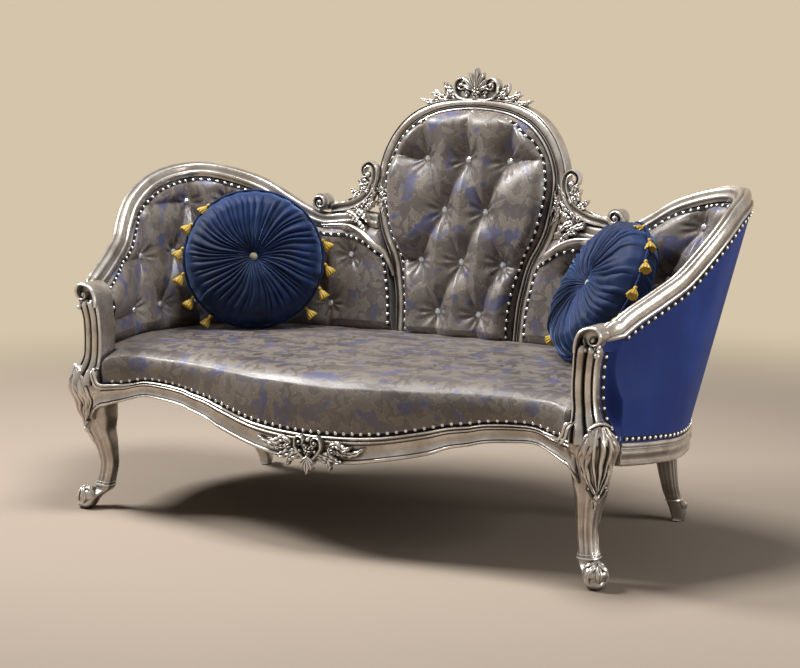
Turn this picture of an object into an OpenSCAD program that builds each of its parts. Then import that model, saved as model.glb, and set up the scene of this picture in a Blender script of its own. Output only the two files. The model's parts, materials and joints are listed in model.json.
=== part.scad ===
// Medallion-back loveseat: carved show-wood frame, tufted wings, two loose round pillows

/* [Wings] */
// Half width from the middle to the top rail's centre line at its widest
wing_reach = 857; // [830:1:880]
// Depth from the front legs to the inner ends of the top rails
wing_depth = 690; // [675:1:705]
// Height of the top rail's centre line at its highest
wing_h = 838; // [815:1:860]
// Half height of the top rail's moulding
rail_half_h = 19; // [16:0.5:21]
// Half width of the top rail's moulding
rail_half_w = 25; // [24:0.5:28]
// How far the outside panel bows in behind the arm post
wing_bow = 20; // [0:1:24]
// Thickness of the bent core panel in the wing
core_t = 15; // [9:1:16]
// Thickness of the velvet and its backing outside the core
velvet_t = 4; // [2:0.5:5]

/* [Seat rails] */
// Height of the rails' inside tongues, which carry the webbing
deck_h = 345; // [335:1:360]
// How far the line where the outside panels end lies below the tongues' top
foot_drop_h = 45; // [40:1:55]
// How far the front rail swells forward and back along its serpentine
front_swell = 48; // [30:1:60]
// How far the highest point of the nail line lies below the tongues' top
nail_drop_h = 2; // [1.5:0.5:10]
// How far the highest point of the front rail's arched lower edge lies below the tongues' top
arch_drop_h = 42; // [39:1:55]
// Thickness of the front rail
front_rail_t = 47; // [42:1:60]
// Depth of the rebate that the seat's wrapped edge sits in
rebate = 28.5; // [26.5:0.5:30]
// Height of the side rail's show face
side_rail_h = 54; // [45:1:60]
// How much higher the side rail starts at the front leg
side_rise = 26; // [10:1:30]
// Depth of the side and back rails' tongue
tongue_t = 28; // [20:1:30]

/* [Legs and posts] */
// How far the front legs' tops lie below the tongues' top
leg_drop_h = 15; // [12:1:20]
// Distance of a front leg's straight axis from the widest place of the top rail
leg_inset_w = 133; // [122:1:142]
// Half width of the front leg's top block
leg_half = 52; // [44:1:56]
// How far the front leg sways inward at its ankle
leg_sway = 63; // [40:1:75]
// How far the knee carving stands out
knee_relief = 9; // [0:0.5:12]
// Thickness of the foot glides
glide_t = 3; // [2:0.5:6]
// Radius of the foot glides
glide_r = 14; // [10:1:18]
// Half width of the rear legs' heads under the rails
rear_head_half = 27; // [22:1:30]
// How far the rear feet stand behind the rails
rear_depth = 90; // [60:1:110]
// How far the posts' tops lie below the middle of the top rail's front end
post_drop_h = 47; // [44:1:56]
// Half width of the post at its waist
post_half = 28; // [24:1:32]
// Half width of the post at its foot
post_foot_half = 46; // [40:1:48]
// Radius of the arm scroll
arm_scroll_r = 27; // [22:1:30]

/* [Medallion] */
// Half width of the medallion frame at its widest
med_half_w = 285; // [275:1:300]
// Height of the medallion frame's outer edge
med_top_h = 1046; // [1020:1:1080]
// Width of the frame's moulding at its sides
med_band = 41; // [34:1:45]
// Depth of the frame in front of the back's middle surface
med_front = 17; // [14:1:22]
// Depth of the frame behind the back's middle surface
med_rear = 22; // [20:1:28]
// How far the back's middle surface lies before the inner ends of the top rails, at the tongues
med_inset_w = 33; // [28:1:38]
// Distance that the back leans over its height above the tongue
med_lean = 88; // [60:1:100]
// Height of the crest above the frame
crest_h = 81; // [60:1:90]
// Half width of the crest with its sprays
crest_half_w = 155; // [130:1:165]
// Height of the brackets' curls above the top rail
bracket_h = 132; // [115:1:140]
// Radius of the small volutes on the top rails
volute_r = 25; // [20:1:28]

/* [Upholstery] */
// Thickness of the seat from the tongues to its rim, where the inside pads stand on it
seat_t = 73; // [62:1:80]
// Rise of the seat's crown above its rim
crown = 14; // [6:1:20]
// How far the seat's front top edge lies below its rim
front_fall = 28; // [10:1:34]
// Thickness of the seat's wrapped front edge
lip_t = 25; // [20:0.5:26]
// Thickness of an inside pad at its edges
pad_edge = 16; // [10:1:20]
// Puff of the tufts above the pad's edges
puff = 30; // [15:1:34]
// Half the distance between two buttons in a row
tuft_x = 62; // [55:1:70]
// Distance between two rows of buttons
tuft_z = 134; // [120:1:145]
// Height of the middle row of buttons above the seat's rim
tuft_rise_h = 199; // [190:1:210]
// Radius of the tuft buttons
button_r = 9; // [6:0.5:11]
// Depth of the tuft buttons
button_t = 6; // [4:0.5:8]

/* [Pillows] */
// Radius of a pillow
pillow_r = 184; // [160:1:190]
// Thickness of a pillow
pillow_t = 132; // [100:1:145]
// Number of pleats on each face
pillow_pleats = 16; // [10:1:24]
// Radius of the braid round a pillow
braid_r = 4; // [3:0.5:5]
// Length of a tassel
tassel_l = 30; // [20:1:36]
// Radius of a tassel's skirt
tassel_r = 10; // [7:0.5:12]

/* [Inside] */
// Width of a webbing strap
strap_w = 50; // [40:1:60]
// Thickness of a webbing strap
strap_t = 1.4; // [1:0.1:2]
// Thickness of the deck cloth
deck_t = 1.6; // [1:0.1:2]
// Thickness of the dust cover
cover_t = 1.2; // [0.8:0.1:2]
// Width of a seat brace
brace_w = 32; // [24:1:45]
// Leg length of the corner blocks
block_w = 90; // [60:1:110]
// Thickness of the medallion's board
board_t = 9; // [6:0.5:10]

/* [Hidden] */

// Clearance between pieces that are fitted face to face
seam = 0.3;
// Clearance under the top rail and beside the medallion, where faces twist
tuck = 0.9;
// Overrun of a cut
over = 1;

wood = [0.72, 0.70, 0.66];
damask = [0.42, 0.39, 0.40];
velvet = [0.10, 0.17, 0.45];
crystal = [0.85, 0.88, 0.92];
gold = [0.85, 0.66, 0.12];
inner = [0.62, 0.50, 0.34];

// Heights and places that follow from the sizes above
foot_line_h = deck_h - foot_drop_h;
front_top_h = deck_h - nail_drop_h;
front_arch_h = deck_h - arch_drop_h;
leg_h = deck_h - leg_drop_h;
rim_h = deck_h + seat_t;
tuft_mid_h = rim_h + tuft_rise_h;
leg_x = wing_reach - leg_inset_w;
med_y = wing_depth - med_inset_w;

// Places along the right wing, from the arm post back to the medallion: the top rail's centre
// line as shares of the way from the medallion's side to the reach, of wing_depth and of wing_h
rail_shares = [[0.7977, 0.066, 0.69], [0.8247, 0.145, 0.72], [0.8667, 0.243, 0.755],
    [0.9146, 0.345, 0.797], [0.958, 0.42, 0.852], [0.9925, 0.507, 0.911], [1, 0.616, 0.962],
    [0.985, 0.729, 0.989], [0.9371, 0.82, 1], [0.8532, 0.872, 0.999], [0.7243, 0.909, 0.981],
    [0.5895, 0.939, 0.95], [0.4726, 0.959, 0.905], [0.3677, 0.972, 0.868], [0.2733, 0.984, 0.846],
    [0.176, 0.994, 0.85], [0.0786, 1.003, 0.857], [-0.0158, 1.011, 0.85]];
// the foot line of the same places, from the medallion's narrow foot to the reach
foot_shares = [[0.819, 0.066], [0.8346, 0.139], [0.8489, 0.217], [0.8607, 0.301], [0.8646, 0.368],
    [0.862, 0.441], [0.845, 0.53], [0.8164, 0.623], [0.7708, 0.713], [0.707, 0.78], [0.6301, 0.823],
    [0.552, 0.852], [0.4778, 0.872], [0.4088, 0.888], [0.3449, 0.903], [0.2447, 0.922],
    [0.1314, 0.936], [0.0194, 0.945]];
wing_steps = 26;
leg_step = 15;
volute_step = 21;
bracket_step = 23;

// Front rail from its middle to the leg, as shares of front_half, front_swell,
// front_top_h and front_arch_h
front_shares = [[0, -1, 0.810, 0.713], [0.153, -0.92, 0.822, 0.716], [0.290, -0.71, 0.848, 0.762],
    [0.443, -0.19, 0.904, 0.832], [0.527, 0.04, 0.942, 0.898], [0.603, 0.25, 0.962, 0.934],
    [0.664, 0.375, 0.985, 0.967], [0.763, 0.50, 1, 0.990], [0.855, 0.50, 1, 1],
    [0.931, 0.17, 0.971, 0.957], [1, -0.33, 0.971, 0.911]];
front_steps = 20;

// Medallion frame's outer edge from its foot to the top, as shares of med_half_w and of
// the height from the tongues to the top
med_shares = [[0.698, 0], [0.698, 0.114], [0.712, 0.220], [0.737, 0.284], [0.786, 0.370],
    [0.853, 0.427], [0.926, 0.491], [0.972, 0.570], [1, 0.649], [1, 0.713], [0.965, 0.777],
    [0.888, 0.846], [0.772, 0.906], [0.625, 0.951], [0.421, 0.983], [0.211, 0.996], [0, 1]];
med_steps = 26;
// Width of the frame's band at the same places, as shares of med_band
band_shares = [0.97, 0.97, 1, 1, 1, 1, 1, 1, 1, 1, 1, 1, 0.98, 0.92, 0.84, 0.76, 0.72];

// Crest outline: height above the frame as shares of crest_h over shares of crest_half_w
crest_shares = [[0, 1], [0.08, 0.95], [0.16, 0.74], [0.22, 0.78], [0.30, 0.52], [0.38, 0.56],
    [0.46, 0.34], [0.56, 0.40], [0.66, 0.22], [0.78, 0.27], [0.88, 0.12], [1, 0.05]];
crest_steps = 40;

// Front leg rings as shares of leg_h, leg_sway and leg_half
leg_shares = [[0.010, 0.14, 0.42], [0.036, 0.12, 0.56], [0.070, 0.02, 0.58], [0.106, -0.22, 0.54],
    [0.150, -0.60, 0.45], [0.200, -0.82, 0.40], [0.260, -0.92, 0.385], [0.364, -1.00, 0.42],
    [0.470, -0.84, 0.49], [0.600, -0.58, 0.62], [0.700, -0.40, 0.76], [0.780, -0.30, 0.86],
    [0.850, -0.30, 0.90], [0.900, -0.32, 0.97], [0.950, -0.34, 1], [1, -0.34, 1]];
leg_sides = 16;

// Rear leg rings as shares of its height, rear_depth and rear_head_half
rear_shares = [[0.012, 0.97, 0.70], [0.05, 0.98, 0.92], [0.12, 0.93, 0.90], [0.20, 0.78, 0.76],
    [0.34, 0.52, 0.70], [0.50, 0.34, 0.76], [0.70, 0.18, 0.88], [0.88, 0.05, 0.98], [1, 0, 1]];
rear_sides = 14;

// Arm post rings as shares of post_h, its inward sway and its way from foot width to waist
post_shares = [[0, 0, 0], [0.06, 0.06, 0.04], [0.14, 0.30, 0.32], [0.24, 0.66, 0.72],
    [0.36, 0.86, 0.98], [0.50, 0.98, 1], [0.66, 1, 1], [0.82, 0.90, 1], [0.93, 0.74, 0.92],
    [1, 0.60, 0.86]];
post_sway = 20;

// Mouldings in cross-section, as shares of half width and half height
rail_profile_shares = [[-0.92, -1], [0.92, -1], [1, -0.72], [0.9, -0.36], [0.66, -0.26],
    [0.76, 0.10], [0.72, 0.55], [0.44, 0.90], [0.05, 1], [-0.30, 0.88], [-0.52, 0.48],
    [-0.48, 0.12], [-0.82, -0.12], [-1, -0.48]];
// The medallion's moulding as shares of the band's width and of its front and rear depths
med_profile_shares = [[0, -0.45], [0, 1], [-1, 1], [-1, -0.40], [-0.94, -0.80], [-0.80, -0.86],
    [-0.68, -0.50], [-0.44, -0.42], [-0.32, -0.88], [-0.16, -1], [-0.04, -0.82]];

// Points, lists and surfaces
function unit(v) = v / norm(v);
function mix(a, b, t) = a + (b - a) * t;
function clamp(v, low, high) = min(max(v, low), high);
function pick(list, i) = list[clamp(i, 0, len(list) - 1)];
function spline(p, s) =
    let (i = min(floor(s), len(p) - 2), t = s - i, a = pick(p, i - 1), b = p[i], c = p[i + 1],
        d = pick(p, i + 2))
    0.5 * (2 * b + (c - a) * t + (2 * a - 5 * b + 4 * c - d) * t * t
        + (3 * b - a - 3 * c + d) * t * t * t);
function smooth(p, n) = [for (i = [0:n]) spline(p, i * (len(p) - 1) / n)];
function along(line, k) = unit(pick(line, k + 1) - pick(line, k - 1));
function total(list) =
    [for (i = 0, s = list[0]; i < len(list); i = i + 1, s = s + pick(list, i)) s][len(list) - 1];
function flipped(p) = [-p[0], p[1], p[2]];
function reverse(list) = [for (i = [len(list) - 1:-1:0]) list[i]];

function plan_reach(a, b) = norm([a[0] + b[0], a[1] + b[1]]);

// A closed solid through rings of equal length, capped with a fan at each end. Each quad is
// split along the diagonal that lies farther out, so that faces side by side stay parallel.
module skin(rings, turned = false) {
    m = len(rings[0]);
    n = len(rings);
    points = [for (r = rings) each r, total(rings[0]) / m, total(rings[n - 1]) / m];
    sides = [for (i = [0:n - 2], j = [0:m - 1])
        let (a = i * m + j, b = i * m + (j + 1) % m, c = b + m, d = a + m)
        each plan_reach(points[a], points[c]) >= plan_reach(points[b], points[d])
            ? [[a, b, c], [a, c, d]] : [[a, b, d], [b, c, d]]];
    caps = [for (j = [0:m - 1])
        each [[n * m, (j + 1) % m, j], [n * m + 1, (n - 1) * m + j, (n - 1) * m + (j + 1) % m]]];
    faces = concat(sides, caps);
    polyhedron(points, turned ? [for (f = faces) reverse(f)] : faces, convexity = 6);
}

// The finished piece stands with the middle of its plan over the origin
plan_mid = 346;
module seated() {
    translate([0, -plan_mid, 0]) children();
}
module left_of() {
    mirror([1, 0, 0]) children();
}

// Medallion geometry
function lean_y(z) = med_y + med_lean * (z - deck_h) / wing_depth;
med_ctrl = [for (s = med_shares) [s[0] * med_half_w, s[1] * (med_top_h - deck_h - seam)
    + deck_h + seam]];
med_edge = smooth(med_ctrl, med_steps);
med_bands = smooth(band_shares, med_steps) * med_band;
function med_out(i) =
    i == 0 ? [1, 0] : i == med_steps ? [0, 1] : let (t = along(med_edge, i)) [t[1], -t[0]];
med_inner = [for (i = [0:med_steps]) med_edge[i] - med_out(i) * med_bands[i]];
med_side_table = [for (i = [0:floor(med_steps / 2)]) [med_edge[i][1], med_edge[i][0]]];
function med_x(z) = lookup(z, med_side_table);
med_arc_table = [for (i = [med_steps:-1:floor(med_steps * 0.72)]) med_edge[i]];
function med_arc(x) = lookup(abs(x), med_arc_table);
function on_back(x, z, n) = [x, lean_y(z) + n, z];

// Wing geometry
rail_line = smooth([for (s = rail_shares) [mix(med_half_w, wing_reach, s[0]), s[1] * wing_depth,
    s[2] * wing_h]], wing_steps);
foot_line = smooth([for (s = foot_shares) [mix(med_half_w * med_shares[0][0], wing_reach, s[0]),
    s[1] * wing_depth, foot_line_h]], wing_steps);
wall_front = rail_line[0][1];
out_dirs = [for (k = [0:wing_steps]) k == 0 ? [1, 0, 0] : k == wing_steps ? [0, 1, 0]
    : let (t = along(foot_line, k)) unit([t[1], -t[0], 0])];
up_dirs = [for (k = [0:wing_steps]) k == 0 ? [0, 0, 1]
    : unit(cross(out_dirs[k], along(rail_line, k)))];
edge_line = [for (k = [0:wing_steps]) rail_line[k] - up_dirs[k] * (rail_half_h + tuck)];
pad_foot = rim_h + tuck;
function wall_bend(k) = pow(max(0, k - volute_step) / (wing_steps - volute_step), 1.5);
function wall_bow(k) = wing_bow * pow(max(0, 1 - k / leg_step * 2), 1.5);
function raw_wall(k, z) = mix(edge_line[k], foot_line[k],
    (edge_line[k][2] - z) / (edge_line[k][2] - foot_line_h));
function bent_wall(k, z) =
    let (p = raw_wall(k, z), t = clamp((edge_line[k][2] - z) / (edge_line[k][2] - pad_foot), 0, 1),
        reach = med_x(z) + 2 * tuck - raw_wall(wing_steps, z)[0])
    p - out_dirs[k] * wall_bow(k) * 4 * t * (1 - t) + [wall_bend(k) * reach, 0, 0];
// Four heights where every layer of the wall has its corners, then the foot line
function wall_heights(k) =
    [for (i = [0:3]) mix(edge_line[k][2], pad_foot, i / 3), foot_line_h];
wall_nodes = [for (k = [0:wing_steps]) [for (z = wall_heights(k)) bent_wall(k, z)]];
function wall(k, z, n) =
    let (h = wall_heights(k), above = len([for (i = [1:3]) if (h[i] > z) i]),
        t = (h[above] - z) / (h[above] - h[above + 1]))
    mix(wall_nodes[k][above], wall_nodes[k][above + 1], t) + out_dirs[k] * n;
function side_top(k) = foot_line_h - seam * 2
    + side_rise * pow(max(0, 1 - k / leg_step * 1.4), 1.6) - tongue_t / 5 * min(1, k / 6);
function layer_rows(k, low, n) =
    [for (i = [0:3]) wall(k, wall_heights(k)[i], n), wall(k, low, n)];
// One layer of the wing's wall between two distances from its middle surface
module wall_layer(near, far, lows) {
    skin([for (k = [0:wing_steps])
        concat(layer_rows(k, lows[k], far), reverse(layer_rows(k, lows[k], near)))], true);
}
core_near = 1.5;
velvet_near = core_near + core_t + seam * 2;
wall_length = [for (i = 0, s = 0; i <= wing_steps; i = i + 1,
    s = s + norm(pick(foot_line, i) - pick(foot_line, i - 1))) s];

// Tufts: 0 on the folds between buttons, 1 in the middle of each diamond
function tuft(u, z) =
    let (v = (z - tuft_mid_h) / tuft_z, a = (u / tuft_x + v) / 2, b = (u / tuft_x - v) / 2)
    pow(abs(sin(180 * a) * sin(180 * b)), 0.45);

// Front rail geometry
front_half = leg_x - leg_half * 1.33;
post_inner = leg_x - post_foot_half - leg_half / 6;
front_ctrl = [for (s = front_shares) [s[0] * front_half, s[1] * front_swell, s[2] * front_top_h,
    s[3] * front_arch_h]];
front_right = smooth(front_ctrl, front_steps);
front_line = concat([for (i = [front_steps:-1:1]) [-front_right[i][0], front_right[i][1],
    front_right[i][2], front_right[i][3]]], front_right);
function front_y(x) = lookup(abs(x), [for (p = front_right) [p[0], p[1]]]);
function front_top(x) = lookup(abs(x), [for (p = front_right) [p[0], p[2]]]);

module foot_glides() {
    color("dimgray") seated() for (side = [-1, 1]) {
        translate([side * (leg_x + leg_sway * leg_shares[0][1] * sqrt(0.5)),
            -leg_sway * leg_shares[0][1] * sqrt(0.5), 0]) cylinder(glide_t, r = glide_r, $fn = 40);
        translate([side * rear_foot[0], rear_foot[1], 0]) cylinder(glide_t, r = glide_r, $fn = 40);
    }
}

// Front cabriole leg: squared rings that sway along the diagonal, with a carved knee
function leg_ring(s) =
    let (out = s[1] * leg_sway * sqrt(0.5), half = s[2] * leg_half,
        z = s[0] == leg_shares[0][0] ? glide_t + seam / 3 : s[0] * leg_h,
        knee = clamp(1 - abs(s[0] - 0.80) / 0.24, 0, 1))
    [for (j = [0:leg_sides - 1])
        let (a = 360 * j / leg_sides, r = half / pow(pow(abs(cos(a)), 3) + pow(abs(sin(a)), 3), 1 / 3),
            turn = (a + 45 + 540) % 360 - 180, facing = max(0, cos(turn)),
            leaf = knee * knee_relief * facing * (1 + 0.6 * cos(5 * turn)))
        [max(leg_x + out + (r + leaf) * cos(a), front_half + seam),
            min(-out + (r + leaf) * sin(a), wall_front - seam), z]];
module leg_front() {
    skin([for (s = smooth(leg_shares, 18)) leg_ring(s)], true);
}
module leg_front_right() {
    color(wood) seated() leg_front();
}
module leg_front_left() {
    color(wood) seated() left_of() leg_front();
}

// Rear leg: round-cornered rings that flare back and out from under the rails' joint
rear_top = foot_line_h - side_rail_h - tongue_t / 5 - seam * 4;
rear_out = out_dirs[leg_step];
rear_head = foot_line[leg_step] + rear_out * (rear_head_half / 2);
rear_foot = rear_head + [rear_depth * rear_shares[0][1] * 0.06, rear_depth * rear_shares[0][1], 0];
function rear_ring(s) =
    let (c = rear_head + [rear_depth * s[1] * 0.06, rear_depth * s[1], 0],
        z = s[0] == rear_shares[0][0] ? glide_t + seam / 3 : s[0] * rear_top)
    [for (j = [0:rear_sides - 1])
        let (a = 360 * j / rear_sides, r = s[2] * rear_head_half
            / pow(pow(abs(cos(a)), 2.6) + pow(abs(sin(a)), 2.6), 1 / 2.6))
        [c[0] + r * cos(a), c[1] + r * sin(a), z]];
module leg_rear() {
    skin([for (s = smooth(rear_shares, 12)) rear_ring(s)], true);
}
module leg_rear_right() {
    color(wood) seated() leg_rear();
}
module leg_rear_left() {
    color(wood) seated() left_of() leg_rear();
}

// Front rail: moulded face below the nail line, a set-back tongue above it
function front_ring(p) =
    let (x = p[0], y = p[1], top = p[2], low = p[3], h = top - low, bead = front_rail_t / 6)
    [[x, y - bead / 4, top], [x, y - bead, top - h * 0.12], [x, y - bead * 0.3, top - h * 0.30],
        [x, y - bead, top - h * 0.55], [x, y - bead * 0.8, low + h * 0.12], [x, y + bead / 2, low],
        [x, y + front_rail_t - bead, low], [x, y + front_rail_t, low + bead],
        [x, y + front_rail_t, deck_h], [x, y + rebate, deck_h], [x, y + rebate, top]];
module front_rail() {
    color(wood) seated() skin([for (p = front_line) front_ring(p)], true);
}

// Side and back rails follow the wall's foot line, with a tongue inside the outer panel
function seat_rail_ring(k, shift) =
    let (top = side_top(k), low = top - side_rail_h, t = tongue_t / 2, step = side_rail_h / 8,
        o = velvet_near + velvet_t,
        c = foot_line[k] - [0, 0, foot_line_h] + along(foot_line, k) * shift, n = out_dirs[k])
    [for (q = [[t, deck_h], [-t, deck_h], [-t, low + step], [-t * 0.6, low], [o * 0.7, low],
        [o + step * 0.3, low + step], [o - step * 0.3, low + step * 2.2],
        [o + step * 0.7, low + step * 4], [o + step * 0.8, top - step], [o + step * 0.2, top],
        [t, top]]) c + n * q[0] + [0, 0, q[1]]];
module side_rail() {
    skin([for (k = [0:leg_step]) seat_rail_ring(k, k == leg_step ? -seam : 0)]);
}
module side_rail_right() {
    color(wood) seated() side_rail();
}
module side_rail_left() {
    color(wood) seated() left_of() side_rail();
}
module back_rail() {
    right = [for (k = [leg_step:wing_steps]) seat_rail_ring(k, 0)];
    left = [for (r = reverse(right)) [for (p = r) flipped(p)]];
    color(wood) seated() skin(concat(right, left));
}

// Plan of the space inside the seat rails
inner_side = concat([[front_half, wall_front + seam]],
    [for (k = [0:2:wing_steps]) let (p = foot_line[k] - out_dirs[k] * (tongue_t / 2 + seam))
        [p[0], p[1] + (k == 0 ? seam : 0)]]);
inner_plan = concat([for (p = front_line) [p[0], p[1] + front_rail_t + seam]], inner_side,
    [for (p = reverse(inner_side)) [-p[0], p[1]]]);
under_h = front_arch_h + cover_t + seam;
brace_x = front_half * 0.36;
module seat_braces() {
    color(inner) seated() translate([0, 0, under_h + seam])
        linear_extrude(deck_h - under_h - seam * 2) intersection() {
            polygon(inner_plan);
            for (side = [-1, 1])
                translate([side * brace_x - brace_w / 2, -wing_depth]) square([brace_w, wing_depth * 2]);
        }
}
module corner_blocks() {
    color(inner) seated() translate([0, 0, under_h + seam])
        linear_extrude(deck_h - under_h - seam * 2) intersection() {
            polygon(inner_plan);
            for (side = [-1, 1], place = [[front_half, inner_plan[0][1], 45], 
                [foot_line[leg_step][0] - block_w / 6, foot_line[leg_step][1] - block_w / 8, 35]])
                translate([side * place[0], place[1]]) rotate(side * place[2])
                    square([block_w, block_w], center = true);
        }
}
module dust_cover() {
    color("black") seated() translate([0, 0, front_arch_h]) linear_extrude(cover_t)
        polygon(inner_plan);
}

// Webbing: straps from front to back over straps from side to side
strap_rows = 4;
strap_columns = 11;
webbing_side = [for (k = [2:wing_steps]) let (p = foot_line[k] - out_dirs[k] * tongue_t * 0.2)
    [p[0], p[1]]];
webbing_plan = concat([for (p = front_line) if (abs(p[0]) < front_half * 0.93)
    [p[0], p[1] + front_rail_t * 0.75]], webbing_side, [for (p = reverse(webbing_side)) [-p[0], p[1]]]);
module seat_webbing() {
    span = foot_line[8][0] * 2;
    color([0.75, 0.68, 0.55]) seated() translate([0, 0, deck_h + seam])
        linear_extrude(strap_t) intersection() {
            polygon(webbing_plan);
            union() {
                for (i = [0:strap_columns - 1])
                    translate([(i - (strap_columns - 1) / 2) * span / (strap_columns + 1)
                        - strap_w / 2, -wing_depth]) square([strap_w, wing_depth * 2]);
                for (i = [0:strap_rows - 1])
                    translate([-span, wing_depth * (0.2 + 0.19 * i)]) square([span * 2, strap_w]);
            }
        }
}
module seat_deck() {
    color([0.70, 0.62, 0.48]) seated() translate([0, 0, deck_h + strap_t + seam * 2])
        linear_extrude(deck_t) polygon([for (p = seat_plan) if (p[2] == 1 || p[1] > wall_front)
            let (q = seat_point(p, lip_t * 1.4, 0)) [q[0], q[1]]]);
}

// Seat pad: a flat rim for the inside pads, a crown, and a front edge wrapped over the rail
seat_bottom = deck_h + strap_t + deck_t + seam * 3;
seat_spine = wing_reach * 0.42;
function seat_core(p) = [clamp(p[0], -seat_spine, seat_spine), wing_depth * 0.45];
seat_side = post_inner - lip_t / 5;
seat_corner = front_right[front_steps][1] + seam;
seat_right = concat([[seat_side, seat_corner, 0], [seat_side, wall_front + seam * 2, 0]],
    [for (k = [1:2:wing_steps]) let (p = foot_line[k] - out_dirs[k] * (med_front + seam * 6))
        [p[0], p[1] + (k == 1 ? seam * 4 : 0), 0]]);
seat_plan = concat([for (p = front_line) [p[0], p[1], 1]], seat_right,
    [for (p = reverse(seat_right)) [-p[0], p[1], 0]]);
function seat_point(p, inset, z) =
    let (q = [p[0], p[1]], d = p[2] == 1 ? [0, 1] : unit(seat_core(q) - q),
        thin = p[2] == 0 && p[1] <= wall_front + over ? 0.3 : 1)
    concat(q + d * inset * (inset > lip_t * 1.5 ? 1 : thin), [z]);
function seat_shrunk(p, share, inset, z) =
    let (q = [p[0], p[1]], c = seat_core(q), d = p[2] == 1 ? [0, 1] : unit(c - q), s = q + d * inset)
    concat(mix(c, s, share), [z]);
function lip_h(p) = p[2] == 1 ? front_top(p[0]) + seam * 2
    : p[1] < wall_front ? max(front_top(front_half), leg_h) + seam * 3 : seat_bottom - seam * 5;
function rim_z(p) = p[1] < wall_front ? rim_h - front_fall * (1 - 0.5 * abs(p[0]) / front_half)
    : rim_h;
module seat_pad() {
    sides = [[1, 0.04], [-0.06, 0.45], [0.04, 0.86]];
    rings = concat([[for (p = seat_plan) seat_point(p, lip_t + seam * 6, seat_bottom)],
        [for (p = seat_plan) seat_point(p, lip_t, lip_h(p))]],
        [for (s = sides) [for (p = seat_plan)
            seat_point(p, max(s[0] * lip_t / 12, p[2] == 1 ? -lip_t : 0),
                mix(lip_h(p), rim_z(p), s[1]))]],
        [[for (p = seat_plan) seat_point(p, lip_t * 0.5, rim_z(p))]],
        [[for (p = seat_plan) seat_point(p, lip_t * 2.6, rim_z(p) + (p[1] < wall_front
            ? front_fall : 0))]],
        [for (q = [0.72, 0.45, 0.2]) [for (p = seat_plan)
            seat_shrunk(p, q, lip_t * 2.6, rim_h + crown * (1 - q * q))]]);
    color(damask) seated() skin(rings, true);
}

// Apron carving: a shell and leaves on the front rail's middle
apron_half = 128;
apron_steps = 30;
apron_relief = 20;
// Lower and upper edges as shares of apron_half and of the rail's height at its middle
apron_low_shares = [[0, -0.45], [0.12, -0.42], [0.22, -0.25], [0.34, -0.22], [0.46, -0.02],
    [0.60, 0.06], [0.74, 0.20], [0.88, 0.30], [1, 0.46]];
apron_top_shares = [[0, 0.86], [0.12, 0.80], [0.24, 0.86], [0.38, 0.70], [0.52, 0.82],
    [0.66, 0.68], [0.80, 0.74], [0.92, 0.62], [1, 0.58]];
module apron_carving() {
    low = front_right[0][3];
    rail_h = front_right[0][2] - low;
    rings = [for (i = [0:apron_steps])
        let (s = 2 * i / apron_steps - 1, x = s * apron_half, shift = front_right[1][3] - low
            + (front_top(x) - front_top(0)),
            y = front_y(x) - front_rail_t / 6 - seam * 2,
            a = low + shift + rail_h * lookup(abs(s), apron_low_shares),
            b = low + shift + rail_h * lookup(abs(s), apron_top_shares),
            r = apron_relief * (1 - 0.7 * s * s) * (0.75 + 0.25 * cos(s * 360 * 4)))
        [[x, y, a], [x, y, b], [x, y - r * 0.45, b - (b - a) * 0.05], [x, y - r, mix(a, b, 0.72)],
            [x, y - r * 0.7, mix(a, b, 0.5)], [x, y - r * 0.95, mix(a, b, 0.28)],
            [x, y - r * 0.4, mix(a, b, 0.05)]]];
    color(wood) seated() skin(rings, true);
}

// Arm post: stands on the front leg, flat at its back against the wing's front end
post_foot = leg_h + seam;
post_h = rail_line[0][2] - post_drop_h - leg_h;
post_front = leg_half * 0.88;
function post_ring(s) =
    let (half = mix(post_foot_half, post_half, s[2]), c = post_inner + post_foot_half
        - post_sway * s[1], z = post_foot + s[0] * post_h,
        back = wall_front - seam, front = mix(-post_front, -post_half * 0.75, s[2]),
        d = back - front)
    [for (q = [[-1, 1], [1, 1], [1, 0.5], [0.86, 0.26], [0.60, 0.30], [0.46, 0.06], [0, 0],
        [-0.46, 0.06], [-0.60, 0.30], [-0.86, 0.26], [-1, 0.5]])
        [max(c + q[0] * half, post_inner), front + q[1] * d, z]];
module arm_post() {
    skin([for (s = smooth(post_shares, 14)) post_ring(s)]);
}
module arm_post_right() {
    color(wood) seated() arm_post();
}
module arm_post_left() {
    color(wood) seated() left_of() arm_post();
}

// Volute: a spiral band on a thin disc, its eye in the middle; the band's end lies lowest
module volute(r, depth, turns, width_share, hand) {
    steps = 18 * turns;
    band = r * width_share;
    function ray(i, inset) =
        let (t = i / steps, a = hand * 360 * turns * t - 90, q = mix(r, band * 1.1, t))
        (q - inset * band * (1 - 0.55 * t)) * [cos(a), sin(a)];
    linear_extrude(depth) polygon(concat([for (i = [0:steps]) ray(i, 0)],
        [for (i = [steps:-1:0]) ray(i, 1)]));
    translate([0, 0, depth * 0.12]) cylinder(depth * 0.76, r = r * 0.93, $fn = 48);
    cylinder(depth, r = band * 0.8, $fn = 32);
}
arm_scroll_depth = wall_front - seam + post_half * 0.9;
module arm_scroll() {
    x = post_ring(post_shares[len(post_shares) - 1])[6][0] + arm_scroll_r / 3;
    translate([x, wall_front - seam, post_foot + post_h + arm_scroll_r + seam])
        rotate([90, 0, 0]) volute(arm_scroll_r, arm_scroll_depth, 1.5, 0.3, -1);
}
module arm_scroll_right() {
    color(wood) seated() arm_scroll();
}
module arm_scroll_left() {
    color(wood) seated() left_of() arm_scroll();
}

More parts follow.
